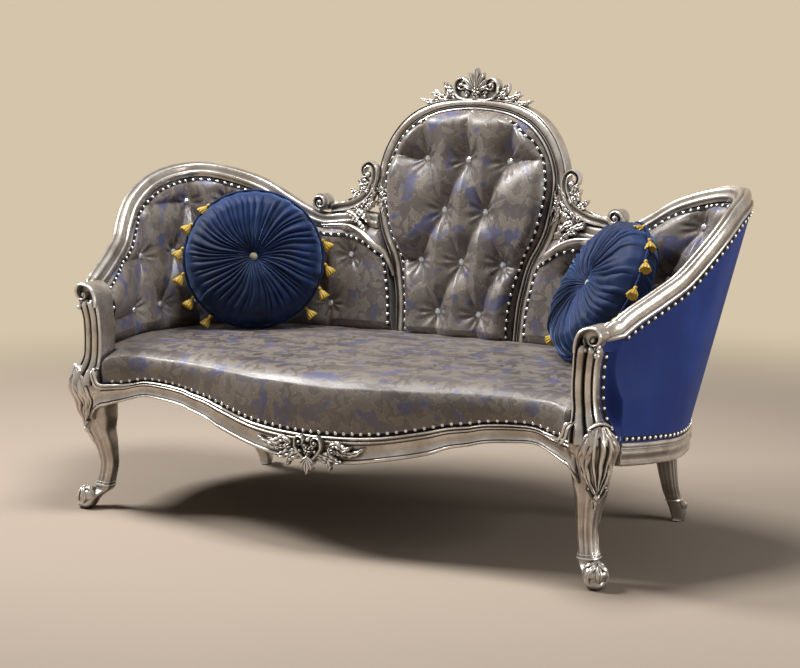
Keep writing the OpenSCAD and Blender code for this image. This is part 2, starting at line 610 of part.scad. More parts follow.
// Top rail: the moulding swept over the wing to the medallion's edge
function beside_medallion(p) = [med_x(p[2]) + 2 * tuck, p[1], p[2]];
function rail_ring(k) =
    let (ring = [for (q = rail_profile_shares) rail_line[k] + out_dirs[k] * q[0] * rail_half_w
        + up_dirs[k] * q[1] * rail_half_h])
    k == wing_steps ? [for (p = ring) beside_medallion(p)] : ring;
module top_rail() {
    skin([for (k = [0:wing_steps]) rail_ring(k)]);
}
module top_rail_right() {
    color(wood) seated() top_rail();
}
module top_rail_left() {
    color(wood) seated() left_of() top_rail();
}
module rail_volute() {
    k = volute_step;
    c = rail_line[k] + up_dirs[k] * (rail_half_h + volute_r + tuck);
    translate(c + [0, rail_half_w * 0.8, 0]) rotate([90, 0, 0])
        volute(volute_r, rail_half_w * 1.6, 1.5, 0.32, 1);
}
module rail_volute_right() {
    color(wood) seated() rail_volute();
}
module rail_volute_left() {
    color(wood) seated() left_of() rail_volute();
}

// Scroll bracket: a strand that rises from the rail beside the medallion into a curl
bracket_w = 12;
bracket_depth = 15;
bracket_gap_w = 1.8;
bracket_span = rail_line[volute_step][0] - volute_r - bracket_gap_w - med_half_w - bracket_w;
// Places as shares of bracket_span across from the frame, of bracket_h above the rail, and of
// bracket_w
bracket_shares = [[0.93, 0.00, 0.85], [0.78, 0.03, 1.00], [0.50, 0.10, 1.05], [0.27, 0.26, 1.00],
    [0.14, 0.46, 0.95], [0.11, 0.68, 0.85], [0.16, 0.88, 0.72], [0.29, 0.95, 0.62],
    [0.40, 0.86, 0.54], [0.38, 0.72, 0.46], [0.28, 0.70, 0.36]];
module scroll_bracket() {
    start = med_half_w + bracket_w + bracket_shares[0][0] * bracket_span;
    base = lookup(start, [for (k = [wing_steps:-1:volute_step]) [rail_line[k][0], rail_line[k][2]]])
        + rail_half_h + bracket_w * bracket_shares[0][2] + tuck;
    line = smooth([for (s = bracket_shares) [med_half_w + bracket_w + s[0] * bracket_span,
        base + s[1] * bracket_h, s[2]]], 30);
    rings = [for (i = [0:30])
        let (p = line[i], d = pick(line, i + 1) - pick(line, i - 1), t = unit([d[0], d[1]]),
            n = [-t[1], t[0]], w = bracket_w * p[2], b = bracket_depth * (0.5 + 0.5 * p[2]),
            y = rail_line[bracket_step][1] + lean_y(p[1]) - lean_y(base))
        [for (q = [[-1, 1], [1, 1], [1, -0.4], [0.5, -0.9], [0, -0.6], [-0.5, -1], [-1, -0.5]])
            [p[0] + n[0] * w * q[0], y + b * q[1], p[1] + n[1] * w * q[0]]]];
    skin(rings, true);
}
module scroll_bracket_right() {
    color(wood) seated() scroll_bracket();
}
module scroll_bracket_left() {
    color(wood) seated() left_of() scroll_bracket();
}

// Medallion frame: the moulding swept round the arch, leaning with the back
function med_ring(i) =
    [for (q = med_profile_shares)
        let (p = med_edge[i] + med_out(i) * q[0] * med_bands[i])
        on_back(p[0], p[1], q[1] < 0 ? q[1] * med_front : q[1] * med_rear)];
module medallion_frame() {
    right = [for (i = [0:med_steps]) med_ring(i)];
    left = [for (i = [med_steps - 1:-1:0]) [for (p = right[i]) flipped(p)]];
    color(wood) seated() skin(concat(right, left), true);
}
// Places inside the frame: half widths and heights of the pad and the boards
med_inside = [for (i = [0:med_steps - 1]) [med_inner[i][0] - seam, med_inner[i][1] - seam]];
module med_panel(near, far, low) {
    rows = concat([[med_inside[0][0], low]], [for (p = med_inside) if (p[1] > low + over) p]);
    skin([for (p = rows) [on_back(-p[0], p[1], near), on_back(p[0], p[1], near),
        on_back(p[0], p[1], far), on_back(-p[0], p[1], far)]], true);
}
board_near = 2;
module medallion_board() {
    color(inner) seated() med_panel(board_near, board_near + board_t, deck_h + seam);
}
module medallion_back_panel() {
    color(velvet) seated() med_panel(board_near + board_t + seam,
        board_near + board_t + velvet_t + seam, deck_h + seam);
}
med_columns = 20;
med_pad_rows = concat([[med_inside[0][0], pad_foot]],
    [for (p = med_inside) if (p[1] > pad_foot + tuft_x / 8) p]);
function med_pad_depth(x, z, half) =
    let (side = (half - abs(x)) / tuft_x, top = (med_inner[med_steps][1] - z) / tuft_x)
    pad_edge / 2 + puff * (0.25 + 0.75 * tuft(x, z)) * pow(clamp(min(side, top), 0, 1), 0.5);
module medallion_pad() {
    color(damask) seated() skin([for (p = med_pad_rows) concat([for (j = [0:med_columns])
        let (x = mix(-p[0], p[0], j / med_columns)) on_back(x, p[1], -med_pad_depth(x, p[1], p[0]))],
        [on_back(p[0], p[1], board_near - seam), on_back(-p[0], p[1], board_near - seam)])], true);
}

// Depth of the pad's own face at a place, between its rows and columns
function med_row_depth(p, x) =
    let (c = (x + p[0]) / (2 * p[0]) * med_columns, j = floor(c), w = 2 * p[0] / med_columns)
    mix(med_pad_depth(j * w - p[0], p[1], p[0]), med_pad_depth((j + 1) * w - p[0], p[1], p[0]), c - j);
function med_face(x, z) =
    let (r = len([for (p = med_pad_rows) if (p[1] < z) p]) - 1, a = med_pad_rows[r],
        b = med_pad_rows[r + 1])
    mix(med_row_depth(a, x), med_row_depth(b, x), (z - a[1]) / (b[1] - a[1]));

// Crest: carved lobes and leaf sprays that stand on the arch
module crest_carving() {
    rings = [for (i = [0:crest_steps])
        let (s = 2 * i / crest_steps - 1, x = s * crest_half_w, low = med_arc(x) + tuck,
            h = crest_h * lookup(abs(s), crest_shares),
            r = med_front * (1.2 - 0.6 * abs(s)) * (0.8 + 0.2 * cos(s * 360 * 6)))
        [on_back(x, low, med_rear * 0.6), on_back(x, low + h * 0.9, med_rear * 0.3),
            on_back(x, low + h, 0), on_back(x, low + h * 0.86, -r * 0.6),
            on_back(x, low + h * 0.6, -r), on_back(x, low + h * 0.35, -r * 0.65),
            on_back(x, low + h * 0.15, -r), on_back(x, low, -r * 0.8)]];
    color(wood) seated() skin(rings, true);
}

// Wing pieces: core, outside panel and tufted inside pad
module wing_core() {
    wall_layer(core_near, core_near + core_t, [for (k = [0:wing_steps]) deck_h + seam * 2]);
}
module wing_core_right() {
    color(inner) seated() wing_core();
}
module wing_core_left() {
    color(inner) seated() left_of() wing_core();
}
module outer_panel() {
    wall_layer(velvet_near, velvet_near + velvet_t, [for (k = [0:wing_steps]) side_top(k) + seam]);
}
module outer_panel_right() {
    color(velvet) seated() outer_panel();
}
module outer_panel_left() {
    color(velvet) seated() left_of() outer_panel();
}
pad_rows = 11;
function pad_depth(k, z) =
    let (top = edge_line[k][2], end = min(wall_length[k], wall_length[wing_steps] - wall_length[k]),
        rise = clamp((top - z) / tuft_x, 0, 1), side = clamp(0.25 + end / tuft_x, 0, 1))
    pad_edge + puff * (0.3 + 0.7 * tuft(wall_length[wing_steps] - wall_length[k], z))
        * pow(rise, 0.5) * pow(side, 0.7);
// Depth of the pad's own face at a station, between two of its rows
function pad_face(k, z) =
    let (row = (edge_line[k][2] - z) / (edge_line[k][2] - pad_foot) * pad_rows, i = floor(row),
        step = (edge_line[k][2] - pad_foot) / pad_rows, a = edge_line[k][2] - i * step)
    mix(pad_depth(k, a), pad_depth(k, a - step), row - i);
module wing_pad() {
    skin([for (k = [0:wing_steps]) concat(
        [for (i = [0:pad_rows]) let (z = mix(edge_line[k][2], pad_foot, i / pad_rows))
            wall(k, z, -pad_depth(k, z))],
        [for (i = [3:-1:0]) wall(k, wall_heights(k)[i], core_near - seam)])]);
}
module wing_pad_right() {
    color(damask) seated() wing_pad();
}
module wing_pad_left() {
    color(damask) seated() left_of() wing_pad();
}

// Tuft buttons: domed discs turned to face the seat, pressed a little into the pads
module button_at(p, facing) {
    translate(p) rotate([0, 0, atan2(facing[1], facing[0])]) rotate([0, 90, 0])
        intersection() {
            cylinder(button_t, r = button_r, $fn = 24);
            translate([0, 0, button_t - button_r * 1.6]) sphere(button_r * 1.6, $fn = 32);
        }
}
module medallion_buttons() {
    color(crystal) seated() for (row = [-1:2], i = [-2:2])
        if ((row + i) % 2 == 0 && abs(i) < 3)
            let (x = i * tuft_x, z = tuft_mid_h + row * tuft_z)
                button_at(on_back(x, z, -med_face(x, z) + button_t / 4), [0, -1, 0]);
}
// Each button stands at the station of the wall nearest to its place along the foot line
function near_step(length) = len([for (s = wall_length) if (s < length) s]);
module wing_buttons() {
    whole = wall_length[wing_steps];
    for (row = [-1:1], i = [0:floor(whole / tuft_x)]) {
        k = clamp(near_step(whole - i * tuft_x), 0, wing_steps);
        z = tuft_mid_h + row * tuft_z;
        if ((row + i) % 2 == 0 && i > 1 && k > 1 && z < edge_line[k][2] - tuft_x / 2)
            button_at(wall(k, z, -pad_face(k, z) + button_t / 4), -out_dirs[k]);
    }
}
module wing_buttons_right() {
    color(crystal) seated() wing_buttons();
}
module wing_buttons_left() {
    color(crystal) seated() left_of() wing_buttons();
}

// Pillows: pleated round pillows with a button, a braid and tassels, leaning on the pads
pillow_sides = pillow_pleats * 2;
// Profile of one face, as shares of pillow_r and of half of pillow_t
pillow_shares = [[0.05, 0.62], [0.14, 0.80], [0.34, 1.00], [0.60, 0.98], [0.82, 0.84],
    [0.95, 0.56], [1.00, 0.18]];
function pillow_ring(s, up) =
    [for (j = [0:pillow_sides - 1])
        let (a = 360 * j / pillow_sides, fold = 1 + 0.07 * cos(a * pillow_pleats)
            * clamp(2.2 * s[0], 0.6, 1) * (1 - pow(s[0], 6)))
        [pillow_r * s[0] * cos(a), pillow_r * s[0] * sin(a), up * s[1] * fold * pillow_t / 2]];
module pillow() {
    skin(concat([for (s = pillow_shares) pillow_ring(s, 1)],
        [for (s = reverse(pillow_shares)) pillow_ring(s, -1)]));
}
module pillow_buttons() {
    for (up = [0, 1]) mirror([0, 0, up]) translate([0, 0, pillow_t * 0.31 + seam])
        intersection() {
            cylinder(button_t * 1.5, r = button_r * 1.3, $fn = 24);
            sphere(button_r * 1.6, $fn = 32);
        }
}
module pillow_braid() {
    rotate_extrude($fn = 72) translate([pillow_r + braid_r + seam, 0]) circle(braid_r, $fn = 20);
}
module pillow_tassels(angles) {
    for (a = angles) rotate(a) translate([pillow_r + 2 * braid_r + seam * 2, 0, 0])
        rotate([0, 90, 0]) {
            cylinder(tassel_l * 0.3, r = tassel_r * 0.45, $fn = 20);
            translate([0, 0, tassel_l * 0.3])
                cylinder(tassel_l * 0.7, r1 = tassel_r * 0.5, r2 = tassel_r, $fn = 24);
        }
}
// Each pillow leans on the wall at a station. Its back's middle lies inward of the wall and along
// it, its face looks inward, turned and tilted, and its rim stands just above the seat's rim
left_station = 16;
left_inset_w = 85.3;
left_shift_w = -24.7;
left_turn = -13.1;
left_tilt = 15.67;
left_lift_h = 6.6;
right_station = 12;
right_inset_w = 211.5;
right_shift_w = -102.7;
right_turn = 13.17;
right_tilt = 30.1;
right_lift_h = 13;
pillow_reach = pillow_r + 2 * braid_r + seam;
function along_wall(k, v) =
    let (n = -out_dirs[k]) [n[0] * v[0] - n[1] * v[1], n[1] * v[0] + n[0] * v[1], v[2]];
function pillow_face(k, turn, tilt) =
    along_wall(k, [cos(turn) * cos(tilt), sin(turn) * cos(tilt), sin(tilt)]);
function pillow_place(k, inset, shift, face, lift) =
    let (p = wall(k, tuft_mid_h, 0) + along_wall(k, [inset, shift, 0]))
    [p[0] + face[0] * pillow_t / 2, p[1] + face[1] * pillow_t / 2,
        rim_h + lift + pillow_reach * norm([face[0], face[1]])];
left_face = pillow_face(left_station, left_turn, left_tilt);
left_place = pillow_place(left_station, left_inset_w, left_shift_w, left_face, left_lift_h);
right_face = pillow_face(right_station, right_turn, right_tilt);
right_place = pillow_place(right_station, right_inset_w, right_shift_w, right_face, right_lift_h);
left_tassels = [for (i = [0:5]) 52 - 21 * i, for (i = [0:3]) 224 - 20 * i];
right_tassels = [for (i = [0:6]) -32 + 22 * i, 205, 228];
// Local Z is the face's direction and local Y lies upward in the pillow's plane
module leaning(place, f) {
    side = unit(cross([0, 0, 1], f));
    up = cross(f, side);
    translate(place) multmatrix([[side[0], up[0], f[0], 0], [side[1], up[1], f[1], 0],
        [side[2], up[2], f[2], 0], [0, 0, 0, 1]]) children();
}
module pillow_left() {
    color(velvet) seated() left_of() leaning(left_place, left_face) pillow();
}
module pillow_right() {
    color(velvet) seated() leaning(right_place, right_face) pillow();
}
module pillow_buttons_left() {
    color(crystal) seated() left_of() leaning(left_place, left_face) pillow_buttons();
}
module pillow_buttons_right() {
    color(crystal) seated() leaning(right_place, right_face) pillow_buttons();
}
module pillow_braid_left() {
    color(velvet) seated() left_of() leaning(left_place, left_face) pillow_braid();
}
module pillow_braid_right() {
    color(velvet) seated() leaning(right_place, right_face) pillow_braid();
}
module pillow_tassels_left() {
    color(gold) seated() left_of() leaning(left_place, left_face) pillow_tassels(left_tassels);
}
module pillow_tassels_right() {
    color(gold) seated() leaning(right_place, right_face) pillow_tassels(right_tassels);
}

foot_glides();
leg_front_left();
leg_front_right();
leg_rear_left();
leg_rear_right();
front_rail();
side_rail_left();
side_rail_right();
back_rail();
seat_braces();
corner_blocks();
seat_webbing();
seat_deck();
dust_cover();
seat_pad();
apron_carving();
arm_post_left();
arm_post_right();
arm_scroll_left();
arm_scroll_right();
top_rail_left();
top_rail_right();
rail_volute_left();
rail_volute_right();
scroll_bracket_left();
scroll_bracket_right();
medallion_frame();
medallion_board();
medallion_pad();
medallion_back_panel();
medallion_buttons();
crest_carving();
wing_core_left();
wing_core_right();
wing_pad_left();
wing_pad_right();
wing_buttons_left();
wing_buttons_right();
outer_panel_left();
outer_panel_right();
pillow_left();
pillow_right();
pillow_buttons_left();
pillow_buttons_right();
pillow_braid_left();
pillow_braid_right();
pillow_tassels_left();
pillow_tassels_right();
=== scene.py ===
import json
import math
import bmesh
import bpy
import numpy as np
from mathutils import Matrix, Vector


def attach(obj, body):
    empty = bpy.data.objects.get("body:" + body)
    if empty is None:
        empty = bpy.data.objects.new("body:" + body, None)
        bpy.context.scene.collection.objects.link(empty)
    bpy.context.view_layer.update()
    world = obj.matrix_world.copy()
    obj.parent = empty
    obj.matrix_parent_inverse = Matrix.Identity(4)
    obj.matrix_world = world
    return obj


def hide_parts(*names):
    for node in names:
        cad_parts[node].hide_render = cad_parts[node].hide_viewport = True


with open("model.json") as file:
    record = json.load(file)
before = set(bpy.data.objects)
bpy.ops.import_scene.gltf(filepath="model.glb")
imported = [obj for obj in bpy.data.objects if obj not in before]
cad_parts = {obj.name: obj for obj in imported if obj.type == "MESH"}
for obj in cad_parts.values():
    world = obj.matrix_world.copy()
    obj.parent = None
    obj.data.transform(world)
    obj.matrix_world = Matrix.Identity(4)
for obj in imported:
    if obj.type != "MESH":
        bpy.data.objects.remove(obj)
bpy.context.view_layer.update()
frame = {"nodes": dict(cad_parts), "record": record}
# Lengths are in mm from the construction lines; Form.build, the camera and the stage use metres.
MID = 346.0      # how far the row frame's middle lies behind the origin of the construction lines
VIEW_TURN = math.radians(31.5)
BACKDROP_TONE = (0.665, 0.560, 0.405, 1)


def link(thing):
    bpy.context.scene.collection.objects.link(thing)
    return thing


def make_camera():
    data = bpy.data.cameras.new("camera")
    data.lens, data.sensor_width = 90.0, 36.0
    camera = link(bpy.data.objects.new("camera", data))
    camera.location = (2.6049, -4.2425, 1.236)
    camera.rotation_euler = (math.radians(90 - 8.78), 0, VIEW_TURN)
    bpy.context.scene.camera = camera


def area(name, where, size, power, aim):
    data = bpy.data.lights.new(name, "AREA")
    data.shape, data.size, data.size_y, data.energy = "RECTANGLE", *size, power
    lamp = link(bpy.data.objects.new(name, data))
    lamp.location = where
    lamp.rotation_mode = "QUATERNION"
    lamp.rotation_quaternion = (Vector(aim) - Vector(where)).to_track_quat("-Z", "Y")


# Numbers and lines
def A(x):
    return np.asarray(x, float)


def unit(v):
    v = A(v)
    return v / np.maximum(np.linalg.norm(v, axis=-1, keepdims=True), 1e-12)


def spline(p, s):
    """Catmull-Rom through the rows of p, at the places s in steps of the list."""
    p, s = A(p), np.atleast_1d(A(s))
    if p.ndim == 1:
        p = p[:, None]
    n = len(p)
    i = np.clip(np.floor(s).astype(int), 0, n - 2)
    t = (s - i)[:, None]
    a, b, c, d = (p[np.clip(i + j, 0, n - 1)] for j in (-1, 0, 1, 2))
    return 0.5 * (2 * b + (c - a) * t + (2 * a - 5 * b + 4 * c - d) * t * t
                  + (3 * b - a - 3 * c + d) * t ** 3)


def smooth(p, n):
    return spline(p, np.linspace(0, len(p) - 1, n + 1))


def step(x, lo, hi):
    t = np.clip((A(x) - lo) / (hi - lo), 0, 1)
    return t * t * (3 - 2 * t)


def lerp(a, b, t):
    return a + (b - a) * t


def circle(n):
    return np.linspace(0, 2 * math.pi, n + 1)[:-1]


def grids(*values):
    return np.broadcast_arrays(*(A(v) for v in values))


def run_of(P):
    """Distance along a polyline at each of its points."""
    return np.r_[0, np.cumsum(np.linalg.norm(np.diff(P, axis=0), axis=1))]


def resample(P, n):
    """n + 1 points at equal distances along a polyline."""
    s = run_of(A(P))
    return np.stack([np.interp(np.linspace(0, s[-1], n + 1), s, column) for column in A(P).T], 1)


def spread(values, n):
    """n values read evenly from a short list or a single number."""
    values = np.atleast_1d(values)
    return np.interp(np.linspace(0, 1, n), np.linspace(0, 1, len(values)), values)


def sideways(P):
    """Unit vectors to the left of a flat path."""
    d = unit(np.gradient(P, axis=0))
    return np.stack([-d[:, 1], d[:, 0]], 1)


class Form:
    """Collects tubes of points, in mm from the construction lines, into one mesh."""

    def __init__(self):
        self.V, self.F, self.C, self.n = [], [], [], 0

    def add(self, V, F, cloth=None):
        V = A(V).reshape(-1, 3)
        self.V.append(V)
        self.C.append(np.zeros((len(V), 3)) if cloth is None else A(cloth).reshape(-1, 3))
        self.F.extend([[i + self.n for i in f] for f in F])
        self.n += len(V)

    def grid(self, G, ring=False, caps=True, cloth=None):
        """Points G[i][j], the last j joined to the first; ring joins the last i to the first."""
        G = A(G)
        n, m = G.shape[:2]
        i, j = np.arange(n if ring else n - 1)[:, None], np.arange(m)
        a, b, k = i * m, (i + 1) % n * m, (j + 1) % m
        F = np.stack([a + j, a + k, b + k, b + j], -1).reshape(-1, 4).tolist()
        V, C = G.reshape(-1, 3), None if cloth is None else A(cloth).reshape(-1, 3)
        if caps == "strip":
            F += [[row + j, row + j + 1, row + m - 2 - j, row + m - 1 - j]
                  for row in (0, (n - 1) * m) for j in range(m // 2 - 1)]
        elif caps:
            V, C = (None if P is None else np.vstack([P, P[:m].mean(0), P[-m:].mean(0)]) for P in (V, C))
            for row, apex, way in ((0, n * m, -1), ((n - 1) * m, n * m + 1, 1)):
                F += [[row + j, row + (j + 1) % m, apex][::way] for j in range(m)]
        self.add(V, F, C)

    def rows(self, lines, **how):
        """A grid from lines that run along it."""
        self.grid(np.transpose(A(lines), (1, 0, 2)), **how)

    def mirrored(self):
        other = Form()
        other.V = [v * [-1, 1, 1] for v in self.V]
        other.C = [c.copy() for c in self.C]
        other.F = [f[::-1] for f in self.F]
        other.n = self.n
        return other

    def build(self, name, material, body="frame", slot=None, replaces=(), crease=38, wood=False):
        mesh = bpy.data.meshes.new(name)
        mesh.from_pydata(((np.vstack(self.V) - [0, MID, 0]) / 1000).tolist(), [], self.F)
        work = bmesh.new()
        work.from_mesh(mesh)
        bmesh.ops.recalc_face_normals(work, faces=work.faces)
        for e in work.edges:
            if len(e.link_faces) == 2 and e.calc_face_angle(0) > math.radians(crease):
                e.smooth = False
        for f in work.faces:
            f.smooth = True
        work.to_mesh(mesh)
        work.free()
        C = np.vstack(self.C)
        if np.abs(C).max() > 0:
            mesh.attributes.new("cloth", "FLOAT_VECTOR", "POINT").data.foreach_set(
                "vector", C.astype(np.float32).ravel())
        if wood:
            groove(mesh)
        mesh.materials.append(material)
        o = link(bpy.data.objects.new(name, mesh))
        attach(o, body)
        if replaces:
            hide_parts(*replaces)
        return o


def groove(mesh):
    """Stores how hollow the surface is at each vertex, 0 on ridges and 1 in grooves."""
    n = len(mesh.vertices)
    co, no, e = np.zeros(n * 3), np.zeros(n * 3), np.zeros(len(mesh.edges) * 2, int)
    mesh.vertices.foreach_get("co", co)
    mesh.vertex_normals.foreach_get("vector", no)
    mesh.edges.foreach_get("vertices", e)
    co, no, e = co.reshape(-1, 3), no.reshape(-1, 3), e.reshape(-1, 2)
    d = co[e[:, 1]] - co[e[:, 0]]
    length = np.maximum(np.linalg.norm(d, axis=1), 1e-6)
    total, weight = np.zeros(n), np.zeros(n)
    for end, s in ((0, 1), (1, -1)):
        np.add.at(total, e[:, end], s * (no[e[:, end]] * d).sum(1) / length)
        np.add.at(weight, e[:, end], length)
    hollow = total / np.maximum(weight, 1e-9)
    for _ in range(3):
        near, count = hollow.copy(), np.ones(n)
        for a, b in ((0, 1), (1, 0)):
            np.add.at(near, e[:, a], hollow[e[:, b]])
            np.add.at(count, e[:, a], 1)
        hollow = near / count
    mesh.attributes.new("hollow", "FLOAT", "POINT").data.foreach_set(
        "value", np.clip(0.5 + hollow * 0.0022, 0, 1).astype(np.float32))


def both(form, name, material, replaces=(), **how):
    """Builds the right piece and its mirror image on the left."""
    return [one.build(name + side, material, replaces=[node + side for node in replaces], **how)
            for side, one in (("_right", form), ("_left", form.mirrored()))]


def carved(form, name, node=None, pair=True):
    """Silver show wood that takes the place of a CAD node, or of a right and a left one."""
    how = dict(slot="show_wood", replaces=[node] if node else [], wood=True)
    if pair:
        both(form, name, SILVER, **how)
    else:
        form.build(name, SILVER, **how)


# Materials
def feed(tree, socket, v):
    """Gives a socket a constant, or links a Value to it."""
    if isinstance(v, Value):
        tree.links.new(v.o, socket)
    else:
        socket.default_value = v


class Value:
    """A number, vector or colour in a shader's node tree, with the usual arithmetic."""

    def __init__(self, tree, out):
        self.t, self.o = tree, out

    def op(self, kind, *others):
        node = self.t.nodes.new("ShaderNodeMath")
        node.operation = kind
        for socket, v in zip(node.inputs, (self,) + others):
            feed(self.t, socket, v)
        return Value(self.t, node.outputs[0])

    def __rsub__(self, o):
        return self * -1 + o

    def ramp(self, lo, hi):
        """0 below lo, 1 above hi and smooth between them."""
        node = self.t.nodes.new("ShaderNodeMapRange")
        node.interpolation_type = "SMOOTHSTEP"
        for i, v in enumerate((self, lo, hi)):
            feed(self.t, node.inputs[i], v)
        return Value(self.t, node.outputs[0])


def maths(kind):
    return lambda self, *others: self.op(kind, *others)


for name, kind in (("__add__", "ADD"), ("__radd__", "ADD"), ("__sub__", "SUBTRACT"), ("sqrt", "SQRT"),
                   ("__mul__", "MULTIPLY"), ("__rmul__", "MULTIPLY"), ("__truediv__", "DIVIDE"),
                   ("abs", "ABSOLUTE"), ("sin", "SINE"), ("cos", "COSINE"), ("frac", "FRACT"),
                   ("floor", "FLOOR"), ("max", "MAXIMUM"), ("min", "MINIMUM"), ("atan2", "ARCTAN2")):
    setattr(Value, name, maths(kind))


class Finish:
    """A Principled material under construction."""

    def __init__(self, name, colour, rough=0.5, metal=0.0, **sockets):
        self.m = bpy.data.materials.new(name)
        self.m.use_nodes = True
        self.m.diffuse_color = (*colour, 1)
        self.t = self.m.node_tree
        self.b = self.t.nodes["Principled BSDF"]
        given = {"Base Color": (*colour, 1), "Roughness": rough, "Metallic": metal, **sockets}
        for socket, v in given.items():
            self.set(socket.replace("_", " "), v)

    def set(self, socket, v):
        feed(self.t, self.b.inputs[socket], v)

    def node(self, kind, out=0, inputs=(), **props):
        """An output of a new node with these inputs and properties."""
        node = self.t.nodes.new("ShaderNode" + kind)
        for k, v in props.items():
            setattr(node, k, v)
        for socket, v in dict(inputs).items():
            feed(self.t, node.inputs[socket], v)
        return Value(self.t, node.outputs[out])

    def attribute(self, name, out="Fac"):
        return self.node("Attribute", out, attribute_name=name)

    def place(self):
        """Where the shaded point is on the object, in metres."""
        return self.node("TexCoord", "Object")

    def split(self, vector):
        node = self.node("SeparateXYZ", 0, {0: vector}).o.node
        return [Value(self.t, out) for out in node.outputs]

    def scaled(self, vector, s):
        return self.node("VectorMath", 0, {0: vector, 1: s}, operation="MULTIPLY")

    def noise(self, vector, scale, detail=3.0, rough=0.55, warp=0.0):
        return self.node("TexNoise", 0, {"Vector": vector, "Scale": scale, "Detail": detail,
                                         "Roughness": rough, "Distortion": warp})

    def mix(self, a, b, t):
        a, b = (v if isinstance(v, Value) else (*v, 1) for v in (a, b))
        return self.node("Mix", 2, {6: a, 7: b, 0: t}, data_type="RGBA")

    def bump(self, height, strength, distance=0.001):
        self.set("Normal", self.node("Bump", 0, {"Strength": strength, "Distance": distance,
                                                 "Height": height}))


def silver_leaf():
    """Worn silver leaf: pale on ridges, grimy where the wood is hollow, and darkened with painted shade where
    ambient occlusion finds it shaded.
    """
    f = Finish("silver_leaf", (0.62, 0.56, 0.50), rough=0.34, metal=0.86)
    p = f.place()
    # Ambient occlusion: 1 in the open and low in occluded creases; it drives painted shade below.
    shade = f.node("AmbientOcclusion", "AO", {"Distance": 0.016}, samples=6).ramp(0.30, 0.88)
    hollow = f.attribute("hollow")
    patch = f.noise(p, 14, 4, 0.6)
    fine = f.noise(p, 90, 4, 0.65)
    # Dark mask: grime in the hollows from the hollow attribute, plus painted shade from the ambient occlusion
    # in creases and between parts.
    grime_and_painted_shade = (hollow + (fine - 0.5) * 0.10).ramp(0.52, 0.66).max((1 - shade) * 0.92) * (
        0.75 + patch * 0.5).min(1.0)
    ridge = (0.5 - hollow + (patch - 0.5) * 0.2).ramp(0.0, 0.14)
    base = f.mix((0.40, 0.35, 0.305), (0.56, 0.51, 0.465), patch.ramp(0.35, 0.65))
    base = f.mix(base, (0.88, 0.84, 0.79), ridge * 0.80)
    # Dark brown for grime in hollows and for painted shade in occluded creases.
    f.set("Base Color", f.mix(base, (0.040, 0.028, 0.020), grime_and_painted_shade))
    f.set("Metallic", (1 - grime_and_painted_shade * 0.75) * 0.88)
    f.set("Roughness", 0.30 + (fine - 0.5) * 0.22 + grime_and_painted_shade * 0.30)
    f.bump(f.noise(p, 160, 5, 0.6) + f.noise(p, 34, 3) * 0.6, 0.22, 0.0012)
    return f.m


